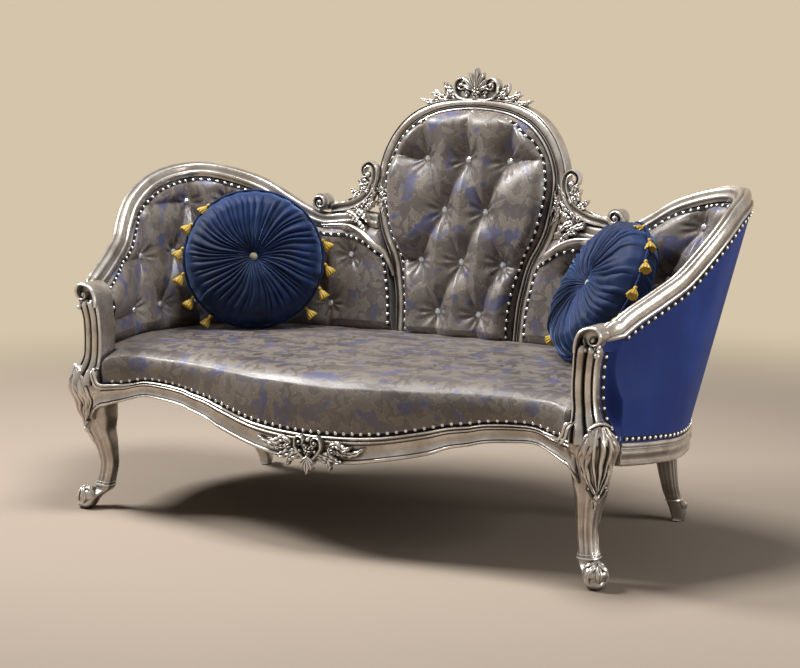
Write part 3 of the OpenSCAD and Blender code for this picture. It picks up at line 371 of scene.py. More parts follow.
def damask():
    """Satin ground with flowers and scrolling leaves in a half-drop repeat, lengths in metres."""
    f = Finish("damask", (0.09, 0.075, 0.072), rough=0.40, Sheen_Weight=0.22, Sheen_Roughness=0.38,
               Specular_IOR_Level=0.95, Sheen_Tint=(0.92, 0.90, 1.0, 1))
    c = f.scaled(f.attribute("cloth", "Vector"), (1.6, 1.6, 1.6))
    warps = [f.noise(place, 13, 2) for place in (c, f.scaled(c, (-1, 1, 1)))]
    u, v = (at + (warp - 0.5) * 0.045 for at, warp in zip(f.split(c), warps))
    width, height = 0.215, 0.29
    column = (u / width).floor()
    across = (((u / width).frac() - 0.5) * width).abs()
    y = ((v / height + (column * 0.5).frac()).frac() - 0.5) * height

    def flower(cx, cy, r0):
        dx, dy = across - cx, y - cy
        a = dy.atan2(dx)
        edge = r0 * (1 + 0.24 * (a * 5.0).cos() + 0.1 * (a * 5.0 * 3).cos())
        return (edge - (dx * dx + dy * dy).sqrt()) / r0

    def leaf(cx, cy, turn, length, width):
        dx, dy = across - cx, y - cy
        s, k = math.sin(turn), math.cos(turn)
        lx, ly = (dx * k + dy * s) / length, dy * k - dx * s
        body = (1 - lx * lx).max(0.0) * (0.85 + 0.30 * (lx * 21).sin().abs())
        return body - (ly - lx * lx * width * 0.7).abs() / width

    shape = flower(0.0, 0.050, 0.046).max(flower(0.076, -0.062, 0.026))
    for spec in ((0.052, 0.092, 0.9, 0.042, 0.015), (0.060, 0.018, -0.5, 0.045, 0.015),
                 (0.030, -0.030, 1.9, 0.045, 0.014), (0.020, -0.098, 0.7, 0.050, 0.016),
                 (0.078, -0.118, -0.3, 0.034, 0.012), (0.092, 0.052, 1.5, 0.036, 0.011)):
        shape = shape.max(leaf(*spec) * 0.8)
    shape = shape + (f.noise(c, 95, 3, 0.6) - 0.5) * 0.42
    inside = shape.ramp(-0.03, 0.05)
    outline = shape.ramp(-0.06, 0.0) * (1 - shape.ramp(0.01, 0.08))
    curls = 1 - (f.noise(c, 30, 1.5, 0.5, 1.4) * 44).sin().abs().ramp(0.05, 0.42)
    curls_here = f.noise(c, 10, 2).ramp(0.44, 0.54)
    veins = 1 - (f.noise(c, 52, 2, 0.5, 1.5) * 34).sin().abs().ramp(0.1, 0.5)
    blue_here = f.noise(c, 10.5, 2).ramp(0.54, 0.62)
    weave = f.noise(f.scaled(c, (1, 9, 1)), 300, 2)
    ground = f.mix((0.078, 0.061, 0.058), (0.168, 0.136, 0.118), f.noise(c, 3.2, 2).ramp(0.30, 0.75))
    motif = f.mix((0.230, 0.190, 0.155), (0.034, 0.050, 0.155), blue_here)
    line = f.mix((0.43, 0.365, 0.28), (0.065, 0.125, 0.56), blue_here * 0.9)
    drawn = (outline * 0.75).max(curls * curls_here * 0.62).max(veins * inside * 0.42)
    cloth = f.mix(f.mix(ground, motif, inside * 0.42), line, drawn)
    f.set("Base Color", f.mix(cloth, (0.012, 0.010, 0.012), (weave - 0.5).ramp(0.0, 0.5) * 0.30))
    f.set("Roughness", 0.33 + inside * 0.10 + (weave - 0.5) * 0.2)
    f.bump(inside * 0.5 + curls * 0.3 + weave * 0.35 + f.noise(c, 26, 3) * 0.8, 0.30, 0.0008)
    return f.m


def velvet(name, low, high, sheen, tint, pile=0.5, rough=0.66, gloss=0.25):
    f = Finish(name, low, rough=rough, Sheen_Weight=sheen, Sheen_Roughness=0.33,
               Specular_IOR_Level=gloss, Sheen_Tint=(*tint, 1))
    p = f.place()
    nap = f.noise(f.scaled(p, (1.0, 1.0, 0.45)), 7, 3, 0.5)
    hair = f.noise(p, 600, 2)
    rub = f.noise(p, 38, 4, 0.6)
    c = f.mix(low, high, (nap * 0.7 + rub * 0.3).ramp(0.38, 0.66))
    f.set("Base Color", f.mix(c, [x * 0.35 for x in low], (hair - 0.5).ramp(0.0, 0.35) * pile))
    f.set("Roughness", rough + (rub - 0.5) * 0.25)
    f.bump(hair * 0.6 + rub * 0.5, 0.25, 0.0008)
    return f.m


def plain_wood():
    f = Finish("frame_wood", (0.45, 0.30, 0.17), rough=0.62)
    ring = (f.noise(f.scaled(f.place(), (1.0, 6.0, 6.0)), 9, 4, 0.5, 0.6) * 42).sin()
    f.set("Base Color", f.mix((0.36, 0.23, 0.12), (0.56, 0.40, 0.24), ring.ramp(-1.0, 1.0)))
    f.bump(ring, 0.15, 0.0005)
    return f.m


def woven(name, low, high, pitch):
    """A plain weave; pitch is the distance between threads in metres."""
    f = Finish(name, low, rough=0.85, Specular_IOR_Level=0.2)
    x, y, z = f.split(f.place())
    k = 2 * math.pi / pitch
    w = (x * k).sin() * ((y + z) * k).sin()
    f.set("Base Color", f.mix(low, high, (w + f.noise(f.place(), 90, 3) - 0.5).ramp(-0.8, 0.8)))
    f.bump(w, 0.4, 0.0006)
    return f.m


def silk():
    f = Finish("tassel_silk", (0.62, 0.38, 0.02), rough=0.42, Sheen_Weight=0.5, Sheen_Roughness=0.35,
               Specular_IOR_Level=0.6, Sheen_Tint=(1, 0.85, 0.4, 1))
    strand = f.noise(f.scaled(f.place(), (1, 1, 0.12)), 900, 2)
    f.set("Base Color", f.mix((0.42, 0.22, 0.01), (0.80, 0.55, 0.05), strand.ramp(0.35, 0.65)))
    f.bump(strand, 0.5, 0.0008)
    return f.m


def crystal():
    f = Finish("crystal", (0.86, 0.88, 0.93), rough=0.06, metal=0.55, Coat_Weight=1.0, Coat_Roughness=0.02)
    f.set("Roughness", 0.04 + f.noise(f.place(), 300, 2) * 0.08)
    return f.m


def pearl():
    f = Finish("nail_heads", (0.80, 0.78, 0.74), rough=0.2, metal=0.9)
    worn = f.noise(f.place(), 240, 3)
    f.set("Base Color", f.mix((0.55, 0.52, 0.49), (0.93, 0.91, 0.88), worn.ramp(0.3, 0.6)))
    f.set("Roughness", 0.14 + worn * 0.18)
    return f.m


def nylon():
    f = Finish("glide_nylon", (0.05, 0.05, 0.05), rough=0.55)
    grain = f.noise(f.place(), 260, 3)
    f.set("Base Color", f.mix((0.035, 0.035, 0.037), (0.075, 0.073, 0.07), grain))
    f.bump(grain, 0.2, 0.0004)
    return f.m


SILVER, DAMASK, WOOD, SILK, CRYSTAL, PEARL = silver_leaf(), damask(), plain_wood(), silk(), crystal(), pearl()
VELVET = velvet("blue_velvet", (0.0022, 0.009, 0.038), (0.006, 0.026, 0.115), 0.80, (0.30, 0.52, 1.0),
                rough=0.60, gloss=0.30)
PLAIN = velvet("wing_velvet", (0.013, 0.034, 0.19), (0.022, 0.058, 0.29), 0.42, (0.42, 0.55, 1.0), 0.3)
BRAID = velvet("braid_cord", (0.006, 0.014, 0.06), (0.014, 0.030, 0.11), 0.5, (0.4, 0.5, 1.0))
SATIN = velvet("button_satin", (0.42, 0.40, 0.24), (0.62, 0.60, 0.42), 0.4, (1, 0.95, 0.8), 0.1)
GIMP = woven("gimp", (0.010, 0.010, 0.014), (0.035, 0.032, 0.035), 0.0016)
BY_SLOT = {"show_wood": SILVER, "frame_wood": WOOD, "damask": DAMASK, "velvet": PLAIN, "braid": BRAID,
           "tassel": SILK, "crystal": CRYSTAL, "glide": nylon(),
           "webbing": woven("webbing", (0.36, 0.27, 0.16), (0.58, 0.47, 0.31), 0.003),
           "cover": woven("cambric", (0.012, 0.012, 0.013), (0.03, 0.03, 0.032), 0.0012)}
for part in frame["record"]["subparts"]:
    node = frame["nodes"][part["node"]]
    node.data.materials.clear()
    node.data.materials.append(BY_SLOT[part["material_slot"]])


# Lines shared with the CAD: tables of shares of the sizes that each line follows
DECK, RIM, MED_HALF, MED_TOP, REACH, DEPTH, WING_H = 345.0, 418.0, 285.0, 1046.0, 857.0, 690.0, 838.0
STEPS, CORNER, VOLUTE_AT = 26, 15, 21               # stations: medallion, rear corner, volute
PAD_FOOT, FOOT_H, GAP, SEAT_RAIL_H = 418.9, 300.0, 0.3, 54
TUFT_X, TUFT_Z, TUFT_MID = 62.0, 134.0, 617.0       # tuft spacing and the middle row's height
RAIL_W, RAIL_H, BAND = 25.0, 19.0, 41.0             # half sizes of the top rail, the medallion's band
LEG_X, LEG_HALF, LEG_H, POST_HALF = REACH - 133.0, 52.0, 330.0, 46.0
RAIL_SHARES = A([
    (0.7977, 0.066, 0.69), (0.8247, 0.145, 0.72), (0.8667, 0.243, 0.755), (0.9146, 0.345, 0.797),
    (0.958, 0.42, 0.852), (0.9925, 0.507, 0.911), (1, 0.616, 0.962), (0.985, 0.729, 0.989),
    (0.9371, 0.82, 1), (0.8532, 0.872, 0.999), (0.7243, 0.909, 0.981), (0.5895, 0.939, 0.95),
    (0.4726, 0.959, 0.905), (0.3677, 0.972, 0.868), (0.2733, 0.984, 0.846), (0.176, 0.994, 0.85),
    (0.0786, 1.003, 0.857), (-0.0158, 1.011, 0.85)])
FOOT_SHARES = A([
    (0.819, 0.066), (0.8346, 0.139), (0.8489, 0.217), (0.8607, 0.301), (0.8646, 0.368), (0.862, 0.441),
    (0.845, 0.53), (0.8164, 0.623), (0.7708, 0.713), (0.707, 0.78), (0.6301, 0.823), (0.552, 0.852),
    (0.4778, 0.872), (0.4088, 0.888), (0.3449, 0.903), (0.2447, 0.922), (0.1314, 0.936), (0.0194, 0.945)])
MED_SHARES = A([
    (0.698, 0), (0.698, 0.114), (0.712, 0.22), (0.737, 0.284), (0.786, 0.37), (0.853, 0.427),
    (0.926, 0.491), (0.972, 0.57), (1, 0.649), (1, 0.713), (0.965, 0.777), (0.888, 0.846),
    (0.772, 0.906), (0.625, 0.951), (0.421, 0.983), (0.211, 0.996), (0, 1)])
BAND_SHARES = A([0.97] * 2 + [1] * 10 + [0.98, 0.92, 0.84, 0.76, 0.72])
FRONT_SHARES = A([
    (0, -1, 0.81, 0.713), (0.153, -0.92, 0.822, 0.716), (0.29, -0.71, 0.848, 0.762),
    (0.443, -0.19, 0.904, 0.832), (0.527, 0.04, 0.942, 0.898), (0.603, 0.25, 0.962, 0.934),
    (0.664, 0.375, 0.985, 0.967), (0.763, 0.5, 1, 0.99), (0.855, 0.5, 1, 1),
    (0.931, 0.17, 0.971, 0.957), (1, -0.33, 0.971, 0.911)])
LEG_SHARES = A([
    (0.01, 0.14, 0.42), (0.036, 0.12, 0.56), (0.07, 0.02, 0.58), (0.106, -0.22, 0.54),
    (0.15, -0.6, 0.45), (0.2, -0.82, 0.4), (0.26, -0.92, 0.385), (0.364, -1, 0.42),
    (0.47, -0.84, 0.49), (0.6, -0.58, 0.62), (0.7, -0.4, 0.76), (0.78, -0.3, 0.86),
    (0.85, -0.3, 0.9), (0.9, -0.32, 0.97), (0.95, -0.34, 1), (1, -0.34, 1)])
REAR_SHARES = A([
    (0.012, 0.93, 0.52), (0.05, 0.97, 0.62), (0.12, 0.93, 0.72), (0.2, 0.78, 0.72), (0.34, 0.52, 0.7),
    (0.5, 0.34, 0.76), (0.7, 0.18, 0.88), (0.88, 0.05, 0.98), (1, 0, 1)])
POST_SHARES = A([
    (0, 0, 0), (0.06, 0.06, 0.04), (0.14, 0.3, 0.32), (0.24, 0.66, 0.72), (0.36, 0.86, 0.98),
    (0.5, 0.98, 1), (0.66, 1, 1), (0.82, 0.9, 1), (0.93, 0.74, 0.92), (1, 0.6, 0.86)])
FRONT_HALF = LEG_X - LEG_HALF * 1.33
POST_INNER = LEG_X - POST_HALF - LEG_HALF / 6


def lean_y(z):
    """The back's plane: how far back it stands at height z."""
    return 657 + 88 * (A(z) - DECK) / DEPTH


def on_back(x, z, n):
    return np.stack(np.broadcast_arrays(x, lean_y(z) + n, z), -1)


def runs(line):
    return unit(np.vstack([line[1:], line[-1:]]) - np.vstack([line[:1], line[:-1]]))


med_edge = smooth(np.stack([MED_SHARES[:, 0] * MED_HALF,
                            MED_SHARES[:, 1] * (MED_TOP - DECK - GAP) + DECK + GAP], 1), STEPS)
med_bands = smooth(BAND_SHARES, STEPS)[:, 0] * BAND
med_outs = runs(med_edge)[:, ::-1] * [1, -1]
med_outs[0], med_outs[-1] = (1, 0), (0, 1)


def med_at(k):
    """Outer edge, outward direction and band width of the medallion at places k along it."""
    return spline(med_edge, k), unit(spline(med_outs, k)), spline(med_bands, k)[:, 0]


def med_x(z):
    return np.interp(z, med_edge[:14, 1], med_edge[:14, 0])


def med_arc(x):
    return np.interp(np.abs(x), med_edge[:17:-1, 0], med_edge[:17:-1, 1])


rail_ctrl = np.stack([lerp(MED_HALF, REACH, RAIL_SHARES[:, 0]), RAIL_SHARES[:, 1] * DEPTH,
                      RAIL_SHARES[:, 2] * WING_H], 1)
foot_ctrl = np.stack([lerp(MED_HALF * MED_SHARES[0, 0], REACH, FOOT_SHARES[:, 0]),
                      FOOT_SHARES[:, 1] * DEPTH, np.full(18, FOOT_H)], 1)
foot0 = smooth(foot_ctrl, STEPS)
outs0 = runs(foot0)[:, [1, 0, 2]] * [1, -1, 0]
outs0[0], outs0[-1] = (1, 0, 0), (0, 1, 0)
ups0 = unit(np.cross(outs0, runs(smooth(rail_ctrl, STEPS))))
ups0[0] = (0, 0, 1)
foot_run = run_of(foot0)
WALL_LENGTH = foot_run[-1]


def rail(k):
    """Middle of the top rail at station k, 0 at the arm's front and STEPS at the medallion."""
    return spline(rail_ctrl, A(k) / STEPS * 17)


def foot(k):
    return spline(foot_ctrl, A(k) / STEPS * 17)


def out(k):
    return unit(spline(outs0, k))


def up(k):
    return unit(spline(ups0, k))


def edge(k):
    """The wing wall's upper edge, just under the top rail."""
    return rail(k) - up(k) * (RAIL_H + 0.9)


def length_at(k):
    return np.interp(k, np.arange(STEPS + 1), foot_run)


def wall(k, z, n=0.0):
    """The wing wall's middle surface at station k and height z, n outside it."""
    k, z, n = (np.atleast_1d(A(v)) for v in np.broadcast_arrays(k, z, n))
    e, f, o = edge(k), foot(k), out(k)
    s = (e[:, 2] - z) / (e[:, 2] - FOOT_H)
    p = lerp(e, f, s[:, None])
    t = np.clip((e[:, 2] - z) / (e[:, 2] - PAD_FOOT), 0, 1)
    bow = 20 * np.maximum(0, 1 - k / CORNER * 2) ** 1.5
    bend = (np.maximum(0, k - VOLUTE_AT) / (STEPS - VOLUTE_AT)) ** 1.5
    last_e, last_f = edge(STEPS)[0], foot(STEPS)[0]
    last_x = lerp(last_e[0], last_f[0], (last_e[2] - z) / (last_e[2] - FOOT_H))
    p = p - o * (bow * 4 * t * (1 - t))[:, None]
    p[:, 0] += bend * (med_x(z) + 1.8 - last_x)
    return p + o * n[:, None]


WALL_FRONT = rail(0)[0, 1]
POST_FOOT, POST_H = LEG_H + GAP, rail(0)[0, 2] - 47 - LEG_H


def front(s):
    """x, y, nail line height and lower edge height at places s (0 to 10) along the front rail."""
    return spline(FRONT_SHARES * [FRONT_HALF, 48, 343, 303], s)


front_line = front(np.linspace(0, 10, 201))


def front_y(x):
    return np.interp(np.abs(x), front_line[:, 0], front_line[:, 1])


def front_top(x):
    return np.interp(np.abs(x), front_line[:, 0], front_line[:, 2])


def side_top(k):
    """Upper edge of the side and back seat rails."""
    return 299.4 + 26 * np.maximum(0, 1 - k / CORNER * 1.4) ** 1.6 - 5.6 * np.minimum(1, k / 6)


def sweep(P, U, V, prof):
    """Rings of a profile (columns along U and V) carried along the points P."""
    return P[:, None] + prof[:, :1] * U[:, None] + prof[:, 1:] * V[:, None]


# Tufted pads, seat and panels
def near_segments(U, Z, segs):
    """Distance from each place to the nearest of the folds."""
    best = np.full(U.shape, 1e9)
    for (x0, z0), (x1, z1) in segs:
        dx, dz = x1 - x0, z1 - z0
        t = np.clip(((U - x0) * dx + (Z - z0) * dz) / (dx * dx + dz * dz), 0, 1)
        best = np.minimum(best, np.hypot(U - x0 - t * dx, Z - z0 - t * dz))
    return best


def puffs(U, Z, buttons, segs):
    """Height of the stuffing: 0 at a button, 1 on a tuft's middle, folded from button to button."""
    rb, ang = np.full(U.shape, 1e9), np.zeros(U.shape)
    for i, (bu, bz) in enumerate(buttons):
        r = np.hypot(U - bu, Z - bz)
        m = r < rb
        rb[m] = r[m]
        ang[m] = np.arctan2(Z - bz, U - bu)[m] + i * 1.7
    near = near_segments(U, Z, segs)
    crown = 1 - (1 - np.clip(near / 62, 0, 1)) ** 2
    tight = np.exp(-(rb / 56) ** 2)
    fold = (0.25 + 0.45 * tight) * np.exp(-(near / lerp(12, 8, tight)) ** 1.15)
    dimple = 1 - np.exp(-(np.maximum(rb - 6, 0) / 29) ** 1.25)
    pull = 0.06 * np.exp(-((rb - 27) / 15) ** 2) * np.cos(ang * 9 + np.sin(ang * 4))
    return np.clip(dimple * (0.62 + 0.38 * crown) * (1 - fold), 0, 1) + pull * step(rb, 6, 16)


def round_in(share):
    """A quarter circle from 0 at the pad's rim to 1 where share reaches 1."""
    return np.sqrt(1 - (1 - np.clip(share, 0, 1)) ** 2)


def diamonds(buttons, ends):
    return ends + [(a, b) for i, a in enumerate(buttons) for b in buttons[i + 1:]
                   if abs(abs(a[0] - b[0]) - TUFT_X) < 3 and abs(abs(a[1] - b[1]) - TUFT_Z) < 3]


def wing_tufts():
    """Buttons of a wing pad, measured from the medallion, and the folds between and beyond them."""
    k = np.linspace(0, STEPS, 261)
    runs_back, tops = (WALL_LENGTH - length_at(k))[::-1], edge(k)[::-1, 2]
    buttons = [(i * TUFT_X, TUFT_MID + row * TUFT_Z) for row in (-1, 0, 1) for i in range(2, 22)
               if (row + i) % 2 == 0 and i * TUFT_X < WALL_LENGTH - 70]
    buttons = [(u, z) for u, z in buttons if z < np.interp(u, runs_back, tops) - 34]
    ends = [((u, z), (u, z + 400)) for u, z in dict(buttons).items()
            if not any(abs(v - u) < TUFT_X + 3 and w > z + 60 for v, w in buttons)]
    ends += [((u, z), (u, z - 200)) for u, z in buttons if z < 500]
    ends += [((u, z), (u + 300, z)) for u, z in buttons if u == max(v for v, w in buttons if w == z)]
    return buttons, diamonds(buttons, ends)


wing_buttons, wing_segs = wing_tufts()
med_buttons = [(i * TUFT_X, TUFT_MID + row * TUFT_Z) for row in (-1, 0, 1, 2) for i in (-2, -1, 0, 1, 2)
               if (row + i) % 2 == 0]
med_segs = diamonds(med_buttons, [((x, 885), (x * 1.25, 1100)) for x in (-124, 0, 124)]
                    + [((s * 124, z), (s * 330, z + dz))
                       for s in (-1, 1) for z, dz in ((885, 20), (617, -10))]
                    + [((s * 62, 483), (s * 62, 380)) for s in (-1, 1)])


def wing_pad_depth(k, z):
    """How far the wing pad stands out from the wall's middle surface."""
    L = length_at(k)
    rim = round_in((edge(k)[:, 2] - z) / 42) * round_in(0.22 + np.minimum(L, WALL_LENGTH - L) / 46)
    foot_in = np.clip(0.55 + (z - PAD_FOOT) / 60, 0, 1)
    return 12 + 35 * (0.12 + 0.88 * puffs(WALL_LENGTH - L, z, wing_buttons, wing_segs)) * rim * foot_in


def wing_pad():
    ks, G, C = np.linspace(0, STEPS, 300), [], []
    skin = [(share ** 0.9, True) for share in np.linspace(0, 1, 121)]
    for share, face in skin + [(1.0, False), (0.5, False), (0.0, False)]:
        z = lerp(edge(ks)[:, 2], PAD_FOOT, share)
        G.append(wall(ks, z, -wing_pad_depth(ks, z) if face else 1.0))
        C.append(np.stack([length_at(ks) / 1000, (z - TUFT_MID) / 1000 - (0 if face else 0.5), 0 * z], 1))
    f = Form()
    f.rows(G, cloth=np.transpose(A(C), (1, 0, 2)))
    return f


def med_inner_half(z):
    """Half width inside the medallion's band at height z."""
    e, o, b = med_at(np.linspace(0, STEPS, 400))
    q = e - o * b[:, None]
    return np.interp(z, q[:, 1], q[:, 0] - GAP)


def med_depth(x, z, half):
    rim = round_in((half - np.abs(x)) / 36) * round_in((MED_TOP - 30.5 - z) / 40)
    foot_in = np.clip(0.6 + (z - PAD_FOOT) / 60, 0, 1)
    return 7 + (20 + 40 * puffs(x, z, med_buttons, med_segs)) * rim * foot_in


def medallion_pad():
    G, C = [], []
    t = np.linspace(-1, 1, 150)
    t = np.sign(t) * (1 - (1 - np.abs(t)) ** 1.15)
    for z in np.r_[np.linspace(PAD_FOOT, 985, 190), np.linspace(986, MED_TOP - 31.5, 40)]:
        half = med_inner_half(z)
        x, zz, behind = t * half, np.full(150, z), A([half, 0, -half])
        G.append(np.vstack([on_back(x, zz, -med_depth(x, zz, half)), on_back(behind, np.full(3, z), 1.6)]))
        C.append(np.stack([np.r_[x, behind], np.full(153, z), np.zeros(153)], 1) / 1000 + [0.3, 0.05, 0])
    f = Form()
    f.grid(G, cloth=C)
    return f


def whole(half):
    """A line from the middle to its right end, with its mirror image before it; x is column 0."""
    return np.vstack([half[:0:-1] * np.r_[-1, np.ones(half.shape[1] - 1)], half])


def seat_pad():
    """The seat: rim, crown and a rolled front edge, on the same plan as its solid."""
    lip, seat_bottom, roll_depth, roll_drop = 25.0, 348.9, 74, 28
    side_x = POST_INNER - 5
    fr = whole(front(np.linspace(0, 10, 90)))
    back = (foot(np.linspace(1, 26, 110)) - out(np.linspace(1, 26, 110)) * 18.8)[:, :2]
    back[0, 1] += 1.2
    ends = np.linspace(fr[-1, 1] + GAP, WALL_FRONT + 0.6, 14)
    right = np.vstack([np.stack([np.full(14, side_x), ends], 1), back])
    plan = np.vstack([fr[:, :2], right, (right * [-1, 1])[::-1]])
    at_front = np.arange(len(plan)) < len(fr)
    ahead = plan[:, 1] < WALL_FRONT
    core = np.stack([np.clip(plan[:, 0], -360, 360), np.full(len(plan), 310.5)], 1)
    inward = np.where(at_front[:, None], [[0.0, 1.0]], unit(core - plan))
    thin = np.where(~at_front & (plan[:, 1] <= WALL_FRONT + 1), 0.3, 1.0)
    lip_h = np.where(ahead, 334.0, seat_bottom - 1.5)
    lip_h[:len(fr)] = fr[:, 2] + 0.6

    def top_at(xy):
        """Height of the cover's top, with its crown and its rolled front and ends."""
        x, y = np.abs(xy[:, 0]), xy[:, 1]
        near = 1 - np.clip((y - front_y(np.minimum(x, FRONT_HALF))) / roll_depth, 0, 1)
        end = np.clip((side_x - x) / 64, 0, 1)
        end_roll = (1 - np.sqrt(1 - (1 - end) ** 2.2)) * (1 - step(y, WALL_FRONT - 40, WALL_FRONT + 30))
        crown = 14 * np.clip(1 - (x / 790) ** 2, 0, 1) * np.clip(1 - ((y - 330) / 400) ** 2, 0, 1)
        return RIM - roll_drop * (1 - 0.5 * np.minimum(x / FRONT_HALF, 1)) * near ** 3 - 24 * end_roll + crown

    def ring(inset, z=None):
        p = plan + inward * (inset * np.where(inset > lip * 1.5, 1.0, thin))[:, None]
        return np.c_[p, top_at(p) if z is None else z]

    one = np.ones(len(plan))
    body = [ring(lip * one, lip_h)]
    for share, t, bulge in ((1, 0.04, 0), (0.2, 0.2, 4.2), (0, 0.48, 7.8), (0, 0.7, 7.3), (0.3, 0.88, 4.7)):
        body.append(ring(share * lip / 12 - bulge * at_front, lerp(lip_h, top_at(plan), t)))
    body += [ring(lip * share * one) for share in (0.04, 0.3, 0.65, 1.1, 1.6, 2.1, 2.6)]
    for share in (0.86, 0.72, 0.58, 0.45, 0.32, 0.2, 0.08):
        p = lerp(core, plan + inward * lip * 2.6, share)
        body.append(np.c_[p, top_at(p)])
    n = (len(body) - 1) * 6
    G = smooth(A(body).reshape(len(body), -1), n).reshape(n + 1, -1, 3)
    G = np.concatenate([ring((lip + 1.8) * one, seat_bottom * one)[None], G])
    X, Y = G[..., 0], G[..., 1]
    slack = (1.3 * np.sin(X / 61 + 1.7 * np.sin(Y / 97)) * np.sin(Y / 53 + 1.3 * np.sin(X / 140))
             + 0.7 * np.sin(X / 23 + Y / 47) * np.sin(Y / 31 - X / 90))
    G[..., 2] += slack * step(np.arange(len(G)), 20, 46)[:, None]
    C = np.stack([X, Y, 0 * X], -1) / 1000 + [1.0, 0.4, 0]
    C[..., 1] += np.minimum(G[..., 2] - RIM + 4, 0) / 1000
    f = Form()
    f.grid(G, cloth=C)
    return f


def panel_layer(near, far, low):
    """A layer of the wing from near to far outside the wall, down to the height low."""
    ks, shares = np.linspace(0, STEPS, 105), np.linspace(0, 1, 31)
    f = Form()
    f.rows([wall(ks, lerp(edge(ks)[:, 2], low(ks), share), n)
            for n, way in ((far, 1), (near, -1)) for share in shares[::way]], caps="strip")
    return f


def crystal_button(form, p, facing, r=9.0, depth=6.0, sides=10):
    """A cut-glass button: a table, two rows of facets and a girdle."""
    f = unit(facing)
    a = unit(np.cross(f, [0.1, 0.2, 1.0]))
    b = np.cross(f, a)
    V, F = [], []
    for i, (q, h) in enumerate([(1.0, 0.0), (1.02, 0.25), (0.80, 0.62), (0.45, 0.92)]):
        for t in circle(sides) + math.pi / sides * (i % 2):
            V.append(p + f * h * depth + (a * math.cos(t) + b * math.sin(t)) * r * q)
    V += [p + f * depth * 0.94, p - f]
    for j in range(sides):
        k = (j + 1) % sides
        for i in range(3):
            A0, A1, B0, B1 = i * sides + j, i * sides + k, (i + 1) * sides + j, (i + 1) * sides + k
            F += [[A0, A1, B0], [A1, B1, B0]] if i % 2 else [[A0, A1, B1], [A0, B1, B0]]
        F += [[3 * sides + j, 3 * sides + k, len(V) - 2], [k, j, len(V) - 1]]
    form.add(V, F)


def upholstery():
    for piece in both(wing_pad(), "wing_pad_cover", DAMASK, slot="damask", replaces=["wing_pad"], crease=60):
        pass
    medallion_pad().build("medallion_pad_cover", DAMASK, slot="damask",
                                    replaces=["medallion_pad"], crease=60)
    seat_pad().build("seat_cover", DAMASK, slot="damask", replaces=["seat_pad"],
                               crease=50)
    both(panel_layer(17.1, 21.1, lambda k: side_top(k) + GAP), "outer_panel_cover", PLAIN, slot="velvet",
         replaces=["outer_panel"])
    both(panel_layer(1.5, 16.5, lambda k: 345.6), "wing_core_board", WOOD, slot="frame_wood",
         replaces=["wing_core"])
    k = np.linspace(0, STEPS, 521)
    wing, medallion = Form(), Form()
    for u, z in wing_buttons:
        at = A([np.interp(u, (WALL_LENGTH - length_at(k))[::-1], k[::-1])])
        crystal_button(wing, wall(at, z, 1.0 - wing_pad_depth(at, A([z])))[0], -out(at)[0])
    for x, z in med_buttons:
        depth = med_depth(A([x]), A([z]), med_inner_half(z))[0]
        crystal_button(medallion, on_back(x, z, 1.0 - depth), A([0, -1, 0.12]))
    both(wing, "wing_crystals", CRYSTAL, slot="crystal", replaces=["wing_buttons"], crease=5)
    medallion.build("medallion_crystals", CRYSTAL, slot="crystal", replaces=["medallion_buttons"], crease=5)


upholstery()


# Carving tools
ROUND = [(math.cos(a), math.sin(a)) for a in np.linspace(0, math.pi, 9)]
CHANNEL = [(1.0, 0.0), (0.97, 0.62), (0.78, 0.96), (0.52, 0.90), (0.30, 0.50), (0.0, 0.30),
           (-0.30, 0.50), (-0.52, 0.90), (-0.78, 0.96), (-0.97, 0.62), (-1.0, 0.0)]


